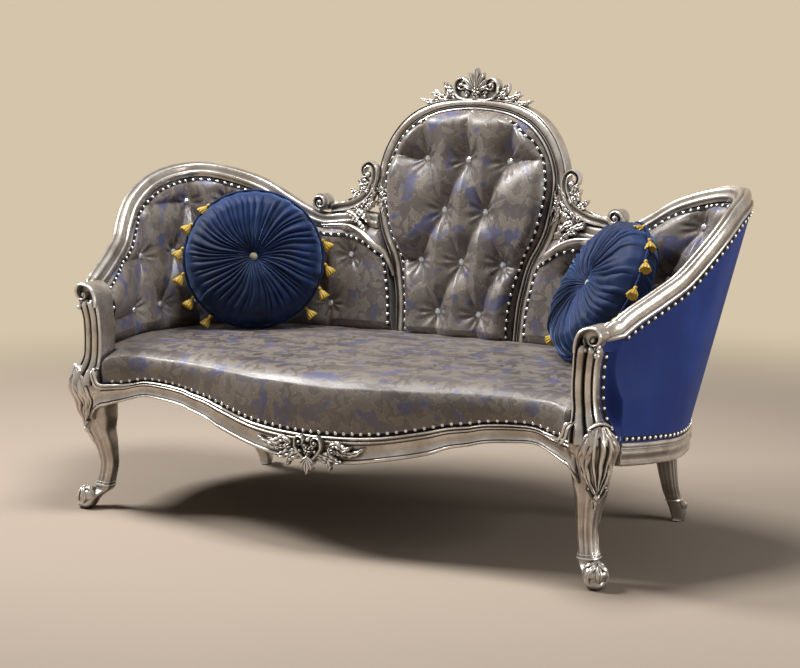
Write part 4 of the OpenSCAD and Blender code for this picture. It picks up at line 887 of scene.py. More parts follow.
class Carver:
    """Adds relief carving to a form. place(u, v, w) maps a flat drawing onto the wood."""

    def __init__(self, form, place, sunk=3.0):
        self.form, self.place, self.sunk = form, place, sunk

    def put(self, G):
        G = A(G)
        self.form.grid(self.place(G[..., 0], G[..., 1], G[..., 2]))

    def strand(self, path, half, relief, prof=ROUND, n=None):
        """A moulding along a path in the drawing, its half width and height given along it."""
        P = smooth(path, n or 10 * len(path))
        half, relief, side = spread(half, len(P)), spread(relief, len(P)), sideways(P)
        rows = [np.c_[P + side * (half * x)[:, None], relief * h] for x, h in prof]
        rows += [np.c_[P + side * (half * x)[:, None], np.full(len(P), -self.sunk)] for x in (-0.9, 0.9)]
        self.put(np.transpose(A(rows), (1, 0, 2)))

    def scroll(self, path, u, v, r, turns, start, hand, half, relief, prof=ROUND, eye=0.34):
        """A strand that runs along a path and curls up, from the angle start, round an eye."""
        t = np.linspace(0, 1, int(18 * turns) + 2)
        q, a = r * (1 - t * 0.72), math.radians(start) + hand * 2 * math.pi * turns * t
        curl = np.stack([u + q * np.cos(a), v + q * np.sin(a)], 1)
        P = np.vstack([A(path).reshape(-1, 2), curl])
        P = resample(P, max(12, len(P)))
        self.strand(P, [half, half * 0.45], [relief * 0.8, relief, relief, relief * 1.1], prof, n=2 * len(P))
        self.bead(u, v, r * eye, relief * 1.25)

    def bead(self, u, v, r, relief):
        T, Q = np.meshgrid(np.linspace(0.0, math.pi * 0.62, 7), circle(12), indexing="ij")
        self.put(np.stack([u + r * np.sin(T) * np.cos(Q), v + r * np.sin(T) * np.sin(Q),
                           relief * (np.cos(T) * 0.72 + 0.28)], -1))

    def leaf(self, path, width, relief, lobes=4, curl=0.4, point=0.55, n=34, lift=0.0):
        """A lobed acanthus leaf along a path: veined, hollowed between its lobes, curled at the tip."""
        P = smooth(path, n)
        t, side = np.linspace(0, 1, n + 1), sideways(P)
        shape = width * (np.sin(math.pi * t ** point) ** 0.75 * (1 - 0.25 * t) + 0.05)
        bow = lift + relief * curl * t ** 3
        rows = []
        for x in np.linspace(1, -1, 15):
            wave = np.abs(np.sin(math.pi * lobes * (t - 0.10 * (1 - abs(x))) + (0.25 if x > 0 else -0.25)))
            h = relief * (0.35 + 0.65 * math.sqrt(max(1 - x * x, 0))) * (0.72 + 0.28 * wave)
            h = h - relief * 0.3 * math.exp(-(x / 0.13) ** 2)
            h = h * (0.55 + 0.45 * np.sin(math.pi * np.clip(t * 1.15, 0, 1)) ** 0.5)
            rows.append(np.c_[P + side * (shape * (0.70 + 0.30 * wave ** 0.5) * x)[:, None], h + bow])
        for x in (-0.8, 0.8):
            rows.append(np.c_[P + side * (shape * 0.7 * x)[:, None], bow * 0.5 - self.sunk])
        self.put(np.transpose(A(rows), (1, 0, 2)))

    def leaves(self, table, s=1, **how):
        """Leaves from rows of a path and leaf()'s further values, mirrored where s is -1."""
        for path, *row in table:
            self.leaf(flip(path, s), *row, **how)

    def fan(self, turns, spread_by, root, length, width, relief, curl, point, lift):
        """Narrow leaves that spread from a root, shorter and slimmer away from the middle one."""
        for i in turns:
            t = math.radians(spread_by[0] + i * spread_by[1])
            start = A([i * root[0], root[1]])
            tip = start + (length[0] - abs(i) * length[1]) * A([math.sin(t), math.cos(t)])
            self.leaf([start, lerp(start, tip, 0.5), tip], width[0] - abs(i) * width[1], relief, 1, curl,
                      point, 22, lift - abs(i))

    def flower(self, u, v, r, relief, petals=5):
        R, Q = np.meshgrid(np.linspace(0.02, 1, 11), circle(12 * petals), indexing="ij")
        wave = np.abs(np.cos((Q + 0.3) * petals / 2))
        q = r * R * (0.66 + 0.34 * wave ** 0.6)
        h = relief * (0.25 + 0.75 * np.sin(math.pi * np.clip(R, 0, 0.92)) ** 0.7 * (0.45 + 0.55 * wave))
        h = h - relief * 0.2 * np.exp(-((wave - 1) / 0.06) ** 2) * R
        G = np.stack([u + q * np.cos(Q), v + q * np.sin(Q), h], -1)
        back = G[::-4].copy()
        back[..., 2] = -self.sunk
        self.put(np.concatenate([G, back]))
        self.bead(u, v, r * 0.26, relief * 1.15)


def flip(path, s):
    """A flat path, mirrored where s is -1."""
    return [(s * u, v) for u, v in path]


def tube(form, P, r, ref=(0, -1, 0), n=12, flat=1.0):
    """A round bead along points in space."""
    T = unit(np.gradient(A(P), axis=0))
    U = unit(np.cross(T, np.broadcast_to(A(ref), T.shape)))
    V, a, r = np.cross(U, T), circle(n), spread(r, len(P))
    form.grid(P[:, None] + r[:, None, None] * (np.cos(a)[:, None] * U[:, None]
                                               + flat * np.sin(a)[:, None] * V[:, None]))


def drum(form, x, z, radii, ys, n):
    """A turned body whose axis runs from front to back."""
    a = circle(n)
    form.grid(np.stack([x + radii[:, None] * np.cos(a), ys[:, None] + 0 * a, z + radii[:, None] * np.sin(a)],
                       -1))


def arcs(*parts):
    """A section made of arcs (x, y, rx, ry, from, to, steps) and single points (x, y)."""
    pts = []
    for x, y, *arc in parts:
        if arc:
            rx, ry, a0, a1, n = arc
            angles = np.radians(np.linspace(a0, a1, n + 1))
            pts += [(x + rx * math.cos(a), y + ry * math.sin(a)) for a in angles]
        else:
            pts.append((x, y))
    return A(pts)


# Swept mouldings
RAIL_PROF = arcs((-0.92, -1), (-0.3, -1), (0.4, -1), (0.90, -1), (0.84, -0.70, 0.16, 0.22, -60, 110, 7),
                 (0.72, -0.42), (0.34, 0.08, 0.42, 0.92, -28, 112, 14), (0.12, 0.72),
                 (0.03, 0.66), (-0.06, 0.74), (-0.26, 0.30, 0.30, 0.56, 62, 190, 9), (-0.56, 0.02),
                 (-0.62, -0.14), (-0.80, -0.42, 0.20, 0.34, 70, 215, 8), (-0.94, -0.74))
MED_PROF = arcs((0, 1), (-0.5, 1), (-1, 1), (-1, 0.2), (-1, -0.35),
                (-0.90, -0.55, 0.10, 0.36, 180, 360, 8), (-0.79, -0.42), (-0.74, -0.40),
                (-0.69, -0.52, 0.045, 0.16, 180, 360, 5), (-0.63, -0.38),
                (-0.36, -0.42, 0.26, 0.58, 186, 345, 14), (-0.10, -0.46),
                (-0.05, -0.52, 0.05, 0.28, 190, 370, 6), (0, -0.2))
# Front rail: mm behind the front line, and share of the way from its upper to its lower edge
FRONT_PROF = [(28.5, 0.0), (12, 0.0), (-1.2, 0.0), (-4.0, 0.02), (-5.4, 0.06), (-4.2, 0.105), (-1.4, 0.13),
              (-1.0, 0.15), (-3.4, 0.165), (-5.0, 0.20), (-4.6, 0.25), (-2.4, 0.275), (-2.0, 0.30),
              (-4.6, 0.315), (-4.2, 0.36), (-2.6, 0.44), (-1.6, 0.54), (-2.0, 0.64), (-3.6, 0.73),
              (-5.4, 0.785), (-5.6, 0.80), (-3.2, 0.815), (-3.0, 0.835), (-5.4, 0.85), (-7.4, 0.89),
              (-7.6, 0.93), (-6.4, 0.97), (-3.0, 1.0), (3.9, 1.0), (20, 1.0)]
# Side and back rails: mm outside the rail's plain face, and height over its upper edge
SIDE_FACE = [(0.5, -51.5), (2.2, -48.5), (1.8, -45.2), (-0.8, -43.0), (-1.6, -40.5), (-2.0, -38.5),
             (-0.4, -34), (2.0, -29.5), (4.4, -26), (5.0, -22.5), (4.2, -19.0), (2.2, -17.4), (1.4, -15.6),
             (3.2, -13.6), (3.0, -11.6), (1.8, -10.2), (2.0, -9.0), (4.6, -8.2), (5.4, -5.4), (4.4, -2.4),
             (1.4, 0.0)]
POST_PROF = arcs((-1, 1), (0, 1), (1, 1), (1, 0.56), (0.885, 0.34, 0.115, 0.24, 10, -170, 8), (0.755, 0.33),
                 (0.73, 0.32), (0.385, 0.21, 0.325, 0.19, 0, -180, 14), (0.045, 0.25), (0.0, 0.29),
                 (-0.045, 0.25), (-0.385, 0.17, 0.325, 0.19, 0, -180, 14), (-0.73, 0.31),
                 (-0.885, 0.32, 0.115, 0.26, -10, -190, 8), (-1, 0.56))


def top_rail():
    k = np.linspace(0, STEPS, 300)
    P, U, V = rail(k), out(k), up(k)
    U[-14:] = lerp(U[-14:], A([0, 1, 0]), np.linspace(0, 0.4, 14)[:, None])
    t = np.linspace(1, 0, 15)[:-1, None]
    nose, size = P[:1] + A([-15, -34, 0]) * t + A([0, 0, -13]) * t ** 2, 1 - t ** 3 * 0.42
    G = sweep(P, U * RAIL_W, V * RAIL_H, RAIL_PROF)
    G = np.concatenate([sweep(nose, U[:1] * RAIL_W * size, V[:1] * RAIL_H * size, RAIL_PROF), G])
    side = med_x(G[..., 2]) + 1.8
    G[-1, :, 0] = np.minimum(G[-1, :, 0], side[-1])
    G[:-1, :, 0] = np.maximum(G[:-1, :, 0], side[:-1])
    f = Form()
    f.grid(G)
    carved(f, "top_rail_moulding", "top_rail")


def medallion_frame():
    e, o, b = med_at(np.linspace(0, STEPS, 220))
    lines = [(e + o * (x * b)[:, None], y * (17 if y < 0 else 22)) for x, y in MED_PROF]
    G = np.transpose(A([on_back(p[:, 0], p[:, 1], y) for p, y in lines]), (1, 0, 2))
    f = Form()
    f.grid(np.concatenate([G, (G * [-1, 1, 1])[-2::-1]]))
    carved(f, "medallion_moulding", "medallion_frame", pair=False)


def front_rail():
    fr = front(np.linspace(0, 10, 190))
    t = np.linspace(0, 1, 22)[1:, None]
    x, y, top, low = whole(np.vstack([
        fr, fr[-1] + t * [36, 0, 0, 0] - step(t, 0, 1) * [0, 17, 8, 0]
        + np.clip(t - 0.6, 0, 1) ** 2 * [0, 110, 0, 0] - t ** 2.2 * [0, 0, 0, 40]])).T
    deck = np.where(np.abs(x) > FRONT_HALF + 0.2, top, DECK)
    lines = [(dy, lerp(top, low, q)) for dy, q in FRONT_PROF]
    lines += [(39.2, low), (47, low + 7.8), (47, deck), (28.5, deck)]
    f = Form()
    f.rows([np.stack([x, y + dy, z], 1) for dy, z in lines])
    carved(f, "front_rail_moulding", "front_rail", pair=False)


def seat_rail(ks, shift=0.0):
    """Rings of the side and back seat rails' section; shift moves the last one along the rail."""
    top, n, c, face = side_top(ks), out(ks), foot(ks) * [1, 1, 0], 21.1
    c[-1] += unit(c[-1] - c[-2]) * shift
    prof = [(-14, DECK - top), (-14, -47.2)] + [(a, -SEAT_RAIL_H) for a in (-8.4, 3, face * 0.7)]
    prof += [(face + a, z) for a, z in SIDE_FACE] + [(18, 0.0), (14, 0.0), (14, DECK - top)]
    return np.stack([c + n * a + np.stack([0 * top, 0 * top, top + z], 1) for a, z in prof], 1)


def seat_rails():
    side, rear = Form(), Form()
    side.grid(seat_rail(np.linspace(0, CORNER, 120), -GAP))
    carved(side, "side_rail_moulding", "side_rail")
    R = seat_rail(np.linspace(CORNER, STEPS, 80))
    rear.grid(np.concatenate([R, (R * [-1, 1, 1])[::-1]]))
    carved(rear, "back_rail_moulding", "back_rail", pair=False)


# Legs and posts
FACE = -math.pi / 4      # the way a front leg faces, out over the corner
leg_tab, rear_tab, post_tab = smooth(LEG_SHARES, 240), smooth(REAR_SHARES, 160), smooth(POST_SHARES, 120)


def read(table, s):
    """The further columns of a table of shares, read where its first column is s."""
    return (np.interp(s, table[:, 0], column) for column in table.T[1:])


def squircle(a, power):
    """Radius at angle a of a rounded square with half width 1; a higher power has sharper corners."""
    return 1 / (np.abs(np.cos(a)) ** power + np.abs(np.sin(a)) ** power) ** (1 / power)


def leg_at(a, z, w=0.0):
    """A place on the front leg's skin at angle a and height z, w outside it."""
    a, z, w = grids(a, z, w)
    s = z / LEG_H
    away, half = read(leg_tab, s)
    half = (half * LEG_HALF - np.maximum(z - LEG_H, 0) * 0.22) * (1 - 0.20 * (1 - step(z, 32, 56)))
    ankle = step(z, 48, 66) * (1 - step(z, 110, 190))
    knee = step(z, 200, 245) * (1 - step(z, 276, 322))
    away = away * 63 * math.sqrt(0.5) + 7 * ankle - 8 * knee
    turn = np.abs((a - FACE + math.pi) % (2 * math.pi) - math.pi)
    shin = step(s, 0.17, 0.22) * (1 - step(s, 0.60, 0.74))
    flutes = (1 - step(turn, 0.75, 1.05)) * 1.5 * (np.cos(turn * 11) - 0.4)
    r = (half + 1.2 * ankle - 2.5 * knee) * squircle(a, 3) + w + shin * (
        flutes + 1.6 * np.exp(-((turn - 1.22) / 0.10) ** 2))
    x = np.maximum(LEG_X + away + r * np.cos(a), np.where(z < LEG_H, FRONT_HALF + GAP, POST_INNER))
    return np.stack([x, np.minimum(r * np.sin(a) - away, WALL_FRONT - GAP), z], -1)


BALL_SIDE, BALL_FRONT, BALL_UP = unit([1, 1, 0]), unit([1, -1, 0]), A([0, 0, 1])
BALL = A([LEG_X, 0, 31]) + BALL_FRONT * 4


def on_ball(u, v, w):
    """Round the toe: u sideways and v along the ball from its top, in mm."""
    u, v, w = grids(u, v, w)
    q, turn, r = v / 26.0, u / 27.0, 26.5 + w
    return (BALL + (r * np.sin(q) * np.cos(turn))[..., None] * BALL_FRONT
            + (r * np.sin(q) * np.sin(turn))[..., None] * BALL_SIDE + (r * np.cos(q))[..., None] * BALL_UP)


def ring_at(form, place, z, w, r):
    """A turned bead round a leg."""
    ring = place(circle(96), z, w)
    tube(form, np.vstack([ring, ring[:1]]), r, ref=BALL_UP, n=8)


def front_legs():
    """Acanthus down the knee, a husk under it and a ring of petals over a round toe."""
    f = Form()
    f.grid(leg_at(circle(96)[None], np.r_[3.1, np.linspace(5, LEG_H, 150)][:, None]))
    c = Carver(f, lambda u, v, w: leg_at(FACE + A(u) / 46.0, v, w), 4)
    for s in (-1, 1):
        c.leaves([([(3, 372), (16, 345), (27, 312), (30, 276), (20, 240), (5, 214)], 13, 10, 5, 0.3, 0.62,
                   46),
                  ([(21, 354), (36, 332), (44, 302), (41, 270), (31, 246)], 9, 7, 4, 0.5),
                  ([(0, 214), (7, 204), (10, 192), (5, 178)], 5, 6, 3)], s)
        c.strand(flip([(9, 366), (13, 340), (14, 300), (10, 262), (3, 224)], s), [2.5, 4, 4, 3, 1.5],
                 [8, 11, 12, 10, 6])
        c.scroll(flip([(4, 196), (12, 205), (20, 216)], s), s * 22, 228, 7, 1.1, 270, s, 3.2, 7, CHANNEL, 0.5)
        c.bead(s * 25, 363, 4.2, 10)
    c.strand([(0, 370), (0, 330), (0, 280), (0, 222)], [3, 5, 5, 1.5], [9, 14, 14, 7])
    c.bead(0, 206, 7, 9)
    c.leaf([(0, 200), (0, 186), (0, 166)], 6, 6, 2, 0.1)
    c.strand([(-24, 366), (-11, 375), (0, 378), (11, 375), (24, 366)], [2.5, 4, 4.6, 4, 2.5],
             [7, 10, 12, 10, 7])
    th, ph = np.meshgrid(np.linspace(0.02, math.pi - 0.02, 22), circle(60), indexing="ij")
    lobe = 1 + 0.13 * (np.abs(np.cos((ph - math.pi / 2) * 2.5)) ** 0.6 - 0.6) * step(np.sin(th), 0.25, 0.8)
    f.grid(BALL + 26 * (lobe * np.cos(th))[..., None] * BALL_FRONT
           + 27 * (lobe * np.sin(th) * np.cos(ph))[..., None] * BALL_SIDE
           + 26 * (lobe * np.sin(th) * np.sin(ph))[..., None] * BALL_UP, caps=False)
    toe = Carver(f, on_ball, 5)
    toe.leaf([(0, 14), (0, 30), (0, 46), (0, 60)], 8.5, 5, 1, 0.5, 0.9, 18)
    for s in (-1, 1):
        toe.leaves([([(10, 10), (21, 24), (28, 40), (24, 56)], 7.5, 5, 2, 0.6),
                    ([(30, 6), (46, 18), (54, 34)], 7, 4.5, 1, 0.6)], s, n=18)
    ring_at(f, leg_at, 61.0, 0.8, 3.2)
    ring_at(f, leg_at, 68.5, 0.8, 1.8)
    carved(f, "front_leg", "leg_front")


REAR_TOP = FOOT_H - SEAT_RAIL_H - 5.6 - 1.2
REAR_HEAD = foot(CORNER)[0] + out(CORNER)[0] * 13.5


def rear_at(a, z, w=0.0):
    """A place on the rear leg's skin at angle a and height z, w outside it."""
    a, z, w = grids(a, z, w)
    s = z / REAR_TOP
    away, half = read(rear_tab, s)
    flutes = step(s, 0.24, 0.36) * (1 - step(s, 0.93, 1.0)) * 1.4 * np.cos(a * 14)
    r = half * 27 * squircle(a, 2.6) + flutes * (1 - 0.5 * np.abs(np.sin(a))) + w
    return np.stack([REAR_HEAD[0] + away * 5.4 + r * np.cos(a), REAR_HEAD[1] + away * 90 + r * np.sin(a), z],
                    -1)


def rear_legs():
    f = Form()
    f.grid(rear_at(circle(96)[None], np.r_[3.1, np.linspace(5, REAR_TOP, 110)][:, None]))
    c = Carver(f, lambda u, v, w: rear_at(math.radians(75) + A(u) / 24.0, v, w), 3)
    c.scroll([(0, 84), (3, 66)], 2, 42, 14, 1.2, 80, -1, 5.5, 11, CHANNEL, 0.5)
    for i in range(-3, 4):
        c.leaf([(i * 12, 62), (i * 12, 48), (i * 12, 34)], 6, 4, 1, 1.0, 0.8, 14)
    ring_at(f, rear_at, 62.0, 0.6, 2.6)
    carved(f, "rear_leg", "leg_rear")


def post_at(q0, q1, s, w=0.0):
    """A place in the post's section (shares of half width and depth) at height share s."""
    sway, slim = read(post_tab, s)
    x = np.maximum(POST_INNER + POST_HALF - 20 * sway + q0 * lerp(POST_HALF, 28, slim), POST_INNER)
    front_side = lerp(-45.8, -21.0, slim)
    return np.stack(np.broadcast_arrays(x, front_side + q1 * (WALL_FRONT - GAP - front_side) - w,
                                        POST_FOOT + s * POST_H), -1)


def arm_posts():
    """The posts; the front rail's bead turns up them round the seat's corner."""
    s = np.r_[np.linspace(0, 1, 90), np.linspace(1.006, 1.07, 8)][:, None]
    over = (np.maximum(s - 1, 0) / 0.07) ** 2
    f = Form()
    f.grid(post_at(POST_PROF[None, :, 0] * (1 - 0.1 * over), POST_PROF[None, :, 1], s, -8 * over))
    corner = A([(FRONT_HALF - dx, front_y(FRONT_HALF - dx) - dy, front_top(FRONT_HALF - dx) - dz)
                for dx, dy, dz in ((70, 3.5, 3.0), (34, 4.5, 1.5))]
               + [(FRONT_HALF - 6, -42, front_top(FRONT_HALF) + 2), (FRONT_HALF + 7, -44, 350),
                  (POST_INNER - 1, -43, 372)])
    up_post = [post_at(-0.93, 0.13, q) for q in np.linspace(0.20, 1.0, 9)]
    tube(f, smooth(np.vstack([corner, up_post]), 130), [2.6, 3.4, 3.8, 3.6, 3.4, 3.4, 3.2, 3.0, 3.0])
    second = [post_at(-0.72, 0.16, 0.22), post_at(-0.72, 0.20, 0.4)]
    tube(f, smooth(np.vstack([corner + [6.5, -1, -7], second]), 70), [2.0, 3.0, 3.4, 3.2, 2.4, 1.0])
    carved(f, "arm_post_moulding", "arm_post")


SCROLL_R = 27.0
SCROLL_X = POST_INNER + POST_HALF - 20 * 0.6 + SCROLL_R / 3
SCROLL_Z = POST_FOOT + POST_H + SCROLL_R + GAP


def arm_scrolls():
    """A band that comes up each post and curls outward round a rosette."""
    f = Form()
    drum(f, SCROLL_X, SCROLL_Z, SCROLL_R * (0.94 - 0.03 * np.cos(np.linspace(0, 4 * math.pi, 18))),
         np.linspace(WALL_FRONT - GAP, -4.0, 18), 64)
    band = smooth([(-39.3, -30), (-38.6, -14), (-34.5, 3), (-25.5, 18), (-10, 27.5), (8, 30), (21, 25.5),
                   (28.5, 14), (28, 0), (20, -11), (8, -14), (-2, -9), (-4, 0), (1, 7)], 110)
    t = np.linspace(0, 1, len(band))
    side = sideways(band) * np.interp(t, [0, 0.5, 0.7, 1], [1, 1, 0.8, 0.45])[:, None]
    deep = np.interp(t, [0, 0.55, 0.75, 1], [0, 0, 1, 1])
    behind = lerp(WALL_FRONT - GAP, -6.0, deep)
    rows = []
    for q, y in ((0, None), (0.6, -17), (0.4, -22), (-1.4, -25.5), (-3.6, -26.8), (-5.8, -25.5), (-7.6, -21),
                 (-8.2, None)):
        p = band + side * q
        rows.append(np.stack([SCROLL_X + p[:, 0], behind if y is None else y + 3.5 * deep,
                              SCROLL_Z + p[:, 1]], 1))
    f.rows(rows)

    def face(back):
        return lambda u, v, w: np.stack([SCROLL_X + u, -21.0 - w + back, SCROLL_Z + v], -1)

    c = Carver(f, face(16), 4)
    c.bead(6, -1, 7.0, 17)
    c.leaf([(16, -8), (14, -22), (6, -34), (-2, -48)], 8, 16, 3, 0.3)
    c.bead(-12, -23, 7.0, 17)
    c.leaf([(-14, -26), (-18, -12), (-20, 2)], 5, 8, 2, 0.3)
    Carver(f, face(4), 6).bead(18, -34, 6.5, 9)
    carved(f, "arm_scroll_carving", "arm_scroll")


# Volutes, brackets, crest and apron
VOLUTE = (rail(VOLUTE_AT) + up(VOLUTE_AT) * (RAIL_H + RAIL_W + 0.9))[0]
BRACKET_X = MED_HALF + 12
BRACKET_SPAN = rail(VOLUTE_AT)[0, 0] - RAIL_W - 1.8 - BRACKET_X
BRACKET_SHARES = A([
    (0.93, 0.00, 0.85), (0.78, 0.03, 1.00), (0.48, 0.09, 1.05), (0.19, 0.24, 1.00), (0.01, 0.44, 0.95),
    (-0.07, 0.66, 0.85), (-0.05, 0.86, 0.72), (0.07, 0.95, 0.62), (0.20, 0.87, 0.54), (0.19, 0.74, 0.46),
    (0.09, 0.71, 0.36)])
inner_rail = rail(np.linspace(VOLUTE_AT, STEPS, 60))[::-1]
BRACKET_Z = np.interp(BRACKET_X + 0.93 * BRACKET_SPAN, inner_rail[:, 0], inner_rail[:, 2]) + (
    RAIL_H + 0.9 + 12 * 0.85)


def volutes():
    f = Form()
    x, y, z = VOLUTE
    radii = 24 * (0.93 + 0.06 * np.cos(np.linspace(0, 2 * math.pi, 14)))
    drum(f, x, z, radii, y + np.linspace(18, -14, 14), 48)
    c = Carver(f, lambda u, v, w: np.stack([x + u, y - 16 - w, z + v], -1), 8)
    c.scroll([], 0, 0, 22.5, 1.4, -90, 1, 4.6, 7.5, eye=0.32)
    carved(f, "rail_volute_carving", "rail_volute")


def lower_strand(f):
    """Sweeps from the rail down the medallion's side."""
    t, shares = np.linspace(0, 1, 12), [0, 0.25, 0.5, 0.7, 0.85, 1]
    k = np.linspace(18, STEPS, 160)
    k = np.interp(MED_HALF + np.interp(t, shares, [150, 98, 58, 28, 8, -12]), rail(k)[::-1, 0], k[::-1])
    z = edge(k)[:, 2] - np.interp(t, shares, [0, 2, 9, 22, 40, 62])
    path = wall(k, z, -np.maximum(23.0, wing_pad_depth(k, z) + 3))
    path = smooth(np.vstack([path, path[-1] + A([[-9, 3, -17], [-17, 8, -38], [-22, 16, -62]])]), 100)
    tube(f, path, [3, 8, 10, 10.5, 10.5, 10, 10, 9.5, 9, 7], n=14, flat=0.8)
    tube(f, path + A([5, -4, 7]), [1, 3.5, 4.5, 4.8, 4.8, 4.5, 4.5, 4, 3.5, 2], n=10)


def brackets():
    """S scrolls between the volutes and the medallion, with a leafy fill."""
    def on_bracket(u, v, w):
        back = rail(23)[0, 1] + lean_y(BRACKET_Z + v) - lean_y(BRACKET_Z)
        return np.stack([BRACKET_X + u, back - w, BRACKET_Z + v], -1)

    f = Form()
    c = Carver(f, on_bracket, 12)
    line = BRACKET_SHARES[:, :2] * [BRACKET_SPAN, 132]
    c.strand(line, 12.5 * BRACKET_SHARES[:, 2], 12, CHANNEL, n=90)
    c.bead(line[-1, 0] - 1, line[-1, 1] + 2, 8.5, 16)
    for i, offsets, *how in ((4, [(2, -6), (16, -2), (28, 10), (36, 26)], 12, 13, 4, 0.8, 0.8),
                             (4, [(6, 10), (18, 20), (24, 36)], 9, 13, 3, 0.8, 0.85),
                             (3, [(6, 6), (22, 12), (36, 26)], 11, 12, 4, 0.7, 0.8),
                             (3, [(-6, 8), (4, 26), (2, 44)], 9, 14, 3, 0.5),
                             (0, [(14, 0), (-8, 10), (-34, 16), (-58, 30)], 8, 7, 4, 0.5)):
        c.leaf(line[i] + offsets, *how)
    c.flower(line[4, 0] + 20, line[4, 1] - 4, 10, 16)
    c.bead(line[3, 0] + 24, line[3, 1] + 4, 5.5, 15)
    c.bead(line[4, 0] + 30, line[4, 1] + 10, 5, 15)
    for x0, y0, x1, y1, w in ((30, 6, 4, 30, 10), (10, 2, -16, 26, 10), (44, 0, 24, 18, 9),
                              (2, 20, -20, 52, 9), (-6, 44, -18, 84, 8)):
        c.leaf([(x0, y0), ((x0 + x1) / 2 + 4, (y0 + y1) / 2), (x1, y1)], w, 10, 3, 0.6, lift=2)
    c.flower(2, 14, 10, 12, petals=6)
    c.bead(-8, 60, 5, 12)
    lower_strand(f)
    for path, width in (([(62, -6), (40, -12), (16, -22)], 10), ([(44, -22), (22, -28), (-2, -44)], 9),
                        ([(30, -2), (10, -10), (-8, -30)], 11), ([(20, -34), (4, -46), (-8, -66)], 8)):
        c.leaf(path, width, 12, 4, 0.5, lift=20)
    c.flower(12, -16, 9, 34)
    carved(f, "scroll_bracket_carving", "scroll_bracket")


def crest():
    """A palmette between scrolls and leaf sprays on the medallion's top."""
    xs = np.linspace(-150, 150, 90)
    low = med_arc(xs) + 0.9
    back_h = 48 * np.interp(np.abs(xs) / 155, [0, 0.2, 0.34, 0.5, 0.75, 1],
                            [0.92, 0.70, 0.52, 0.30, 0.18, 0.05])
    f = Form()
    f.rows([on_back(xs, low + back_h * q, n)
            for q, n in ((0, 13), (0.95, 7), (1, 0), (0.9, -2), (0.4, -4), (0, -5))])
    c = Carver(f, lambda u, v, w: on_back(u, med_arc(u) + v, -w), 9)
    c.fan(range(-3, 4), (0, 21), (2.0, 19), (60, 8.5), (8.2, 0.5), 13, 0.9, 1.35, 7)
    for s in (-1, 1):
        c.scroll(flip([(8, -4), (30, -5), (52, 2), (64, 16), (65, 32)], s), s * 44, 36, 21, 1.2,
                 0 if s > 0 else 180, s, 6.6, 17)
        c.leaves([([(54, 2), (76, 12), (92, 30), (96, 48)], 12, 14, 4, 0.8, 0.7),
                  ([(76, 4), (100, 6), (122, 20), (136, 28)], 11, 13, 4, 0.8, 0.7),
                  ([(104, 3), (126, 4), (148, 10), (168, 26)], 8.5, 10, 4, 0.9, 0.85),
                  ([(66, 14), (82, 26), (86, 42)], 8, 11, 3, 0.8, 0.9),
                  ([(104, 6), (114, 18), (126, 34)], 7, 9, 2, 0.8, 0.9),
                  ([(6, -4), (22, -11), (44, -14), (62, -8)], 9, 12, 4, 0.5),
                  ([(20, 8), (30, 20), (28, 34)], 7, 15, 2, 0.6)], s)
        c.flower(s * 80, 12, 9.5, 16)
        c.bead(s * 112, 9, 5.5, 13)
        c.bead(s * 28, 6, 5, 15)
    c.flower(0, 18, 16, 19, petals=6)
    c.leaf([(0, 8), (0, -6), (0, -18)], 11, 13, 3, 0.5)
    carved(f, "crest_leaves", "crest_carving", pair=False)


def medallion_sprays():
    """Small sprays on the medallion's shoulders."""
    def on_side(u, v, w):
        """Round the medallion's band: u along it in mm from its widest place, v outward."""
        e, o, b = med_at((12.4 + u / 36.0).ravel())
        p = e + o * (v.ravel()[:, None] - b[:, None] * 0.45)
        return on_back(p[:, 0], p[:, 1], -16 - w.ravel()).reshape(u.shape + (3,))

    f = Form()
    c = Carver(f, on_side, 4)
    c.flower(0, 0, 10, 8)
    for s in (-1, 1):
        c.leaves([([(8, 0), (26, 7), (46, 3), (62, -3)], 8, 7, 4, 0.3),
                  ([(8, -3), (22, -9), (38, -10)], 5, 6, 3, 0.3), ([(8, 4), (16, 14), (30, 19)], 5, 6, 3)], s)
    carved(f, "medallion_spray")


def apron():
    """A shell between scrolls and leaf sprays on the middle of the front rail."""
    def on_apron(u, v, w):
        """u across, v above the front rail's lower edge in its middle, w towards the front."""
        x = np.clip(u, -200, 200)
        return np.stack([u, front_y(x) - 5.0 - w,
                         front_line[0, 3] + v + (front_top(x) - front_top(0)) * 0.9], -1)

    f = Form()
    c = Carver(f, on_apron, 6)
    c.fan(range(-2, 3), (180, 24), (3.0, 16), (46, 7), (9.0, 1), 15, 0.7, 1.25, 5)
    for s in (-1, 1):
        c.scroll(flip([(4, 0), (15, 8), (28, 20), (37, 34)], s), s * 22, 46, 15, 1.15,
                 -20 if s > 0 else 200, s, 5.2, 18)
        c.leaves([([(16, 20), (40, 10), (56, -2), (60, -18)], 11, 14, 4, 0.7, 0.85),
                  ([(36, 20), (58, 14), (80, 4), (96, 4)], 11, 14, 4, 0.8, 0.85),
                  ([(54, 36), (76, 44), (98, 34), (118, 40)], 11, 13, 4, 0.8, 0.85),
                  ([(84, 26), (106, 22), (130, 26), (152, 38)], 9, 10, 4, 0.8, 0.85),
                  ([(62, 26), (80, 24), (98, 16)], 8, 10, 3, 0.6),
                  ([(4, 28), (16, 40), (16, 58)], 7, 15, 2, 0.5)], s)
        c.flower(s * 62, 28, 10, 17)
        c.bead(s * 100, 28, 5, 11)
        c.bead(s * 22, 24, 5, 18)
    c.flower(0, 26, 14, 20, petals=6)
    c.bead(0, 52, 6.5, 16)
    carved(f, "apron_leaves", "apron_carving", pair=False)


for make in (top_rail, medallion_frame, front_rail, seat_rails, front_legs, rear_legs, arm_posts, arm_scrolls,
             volutes, brackets, crest, medallion_sprays, apron):
    make()


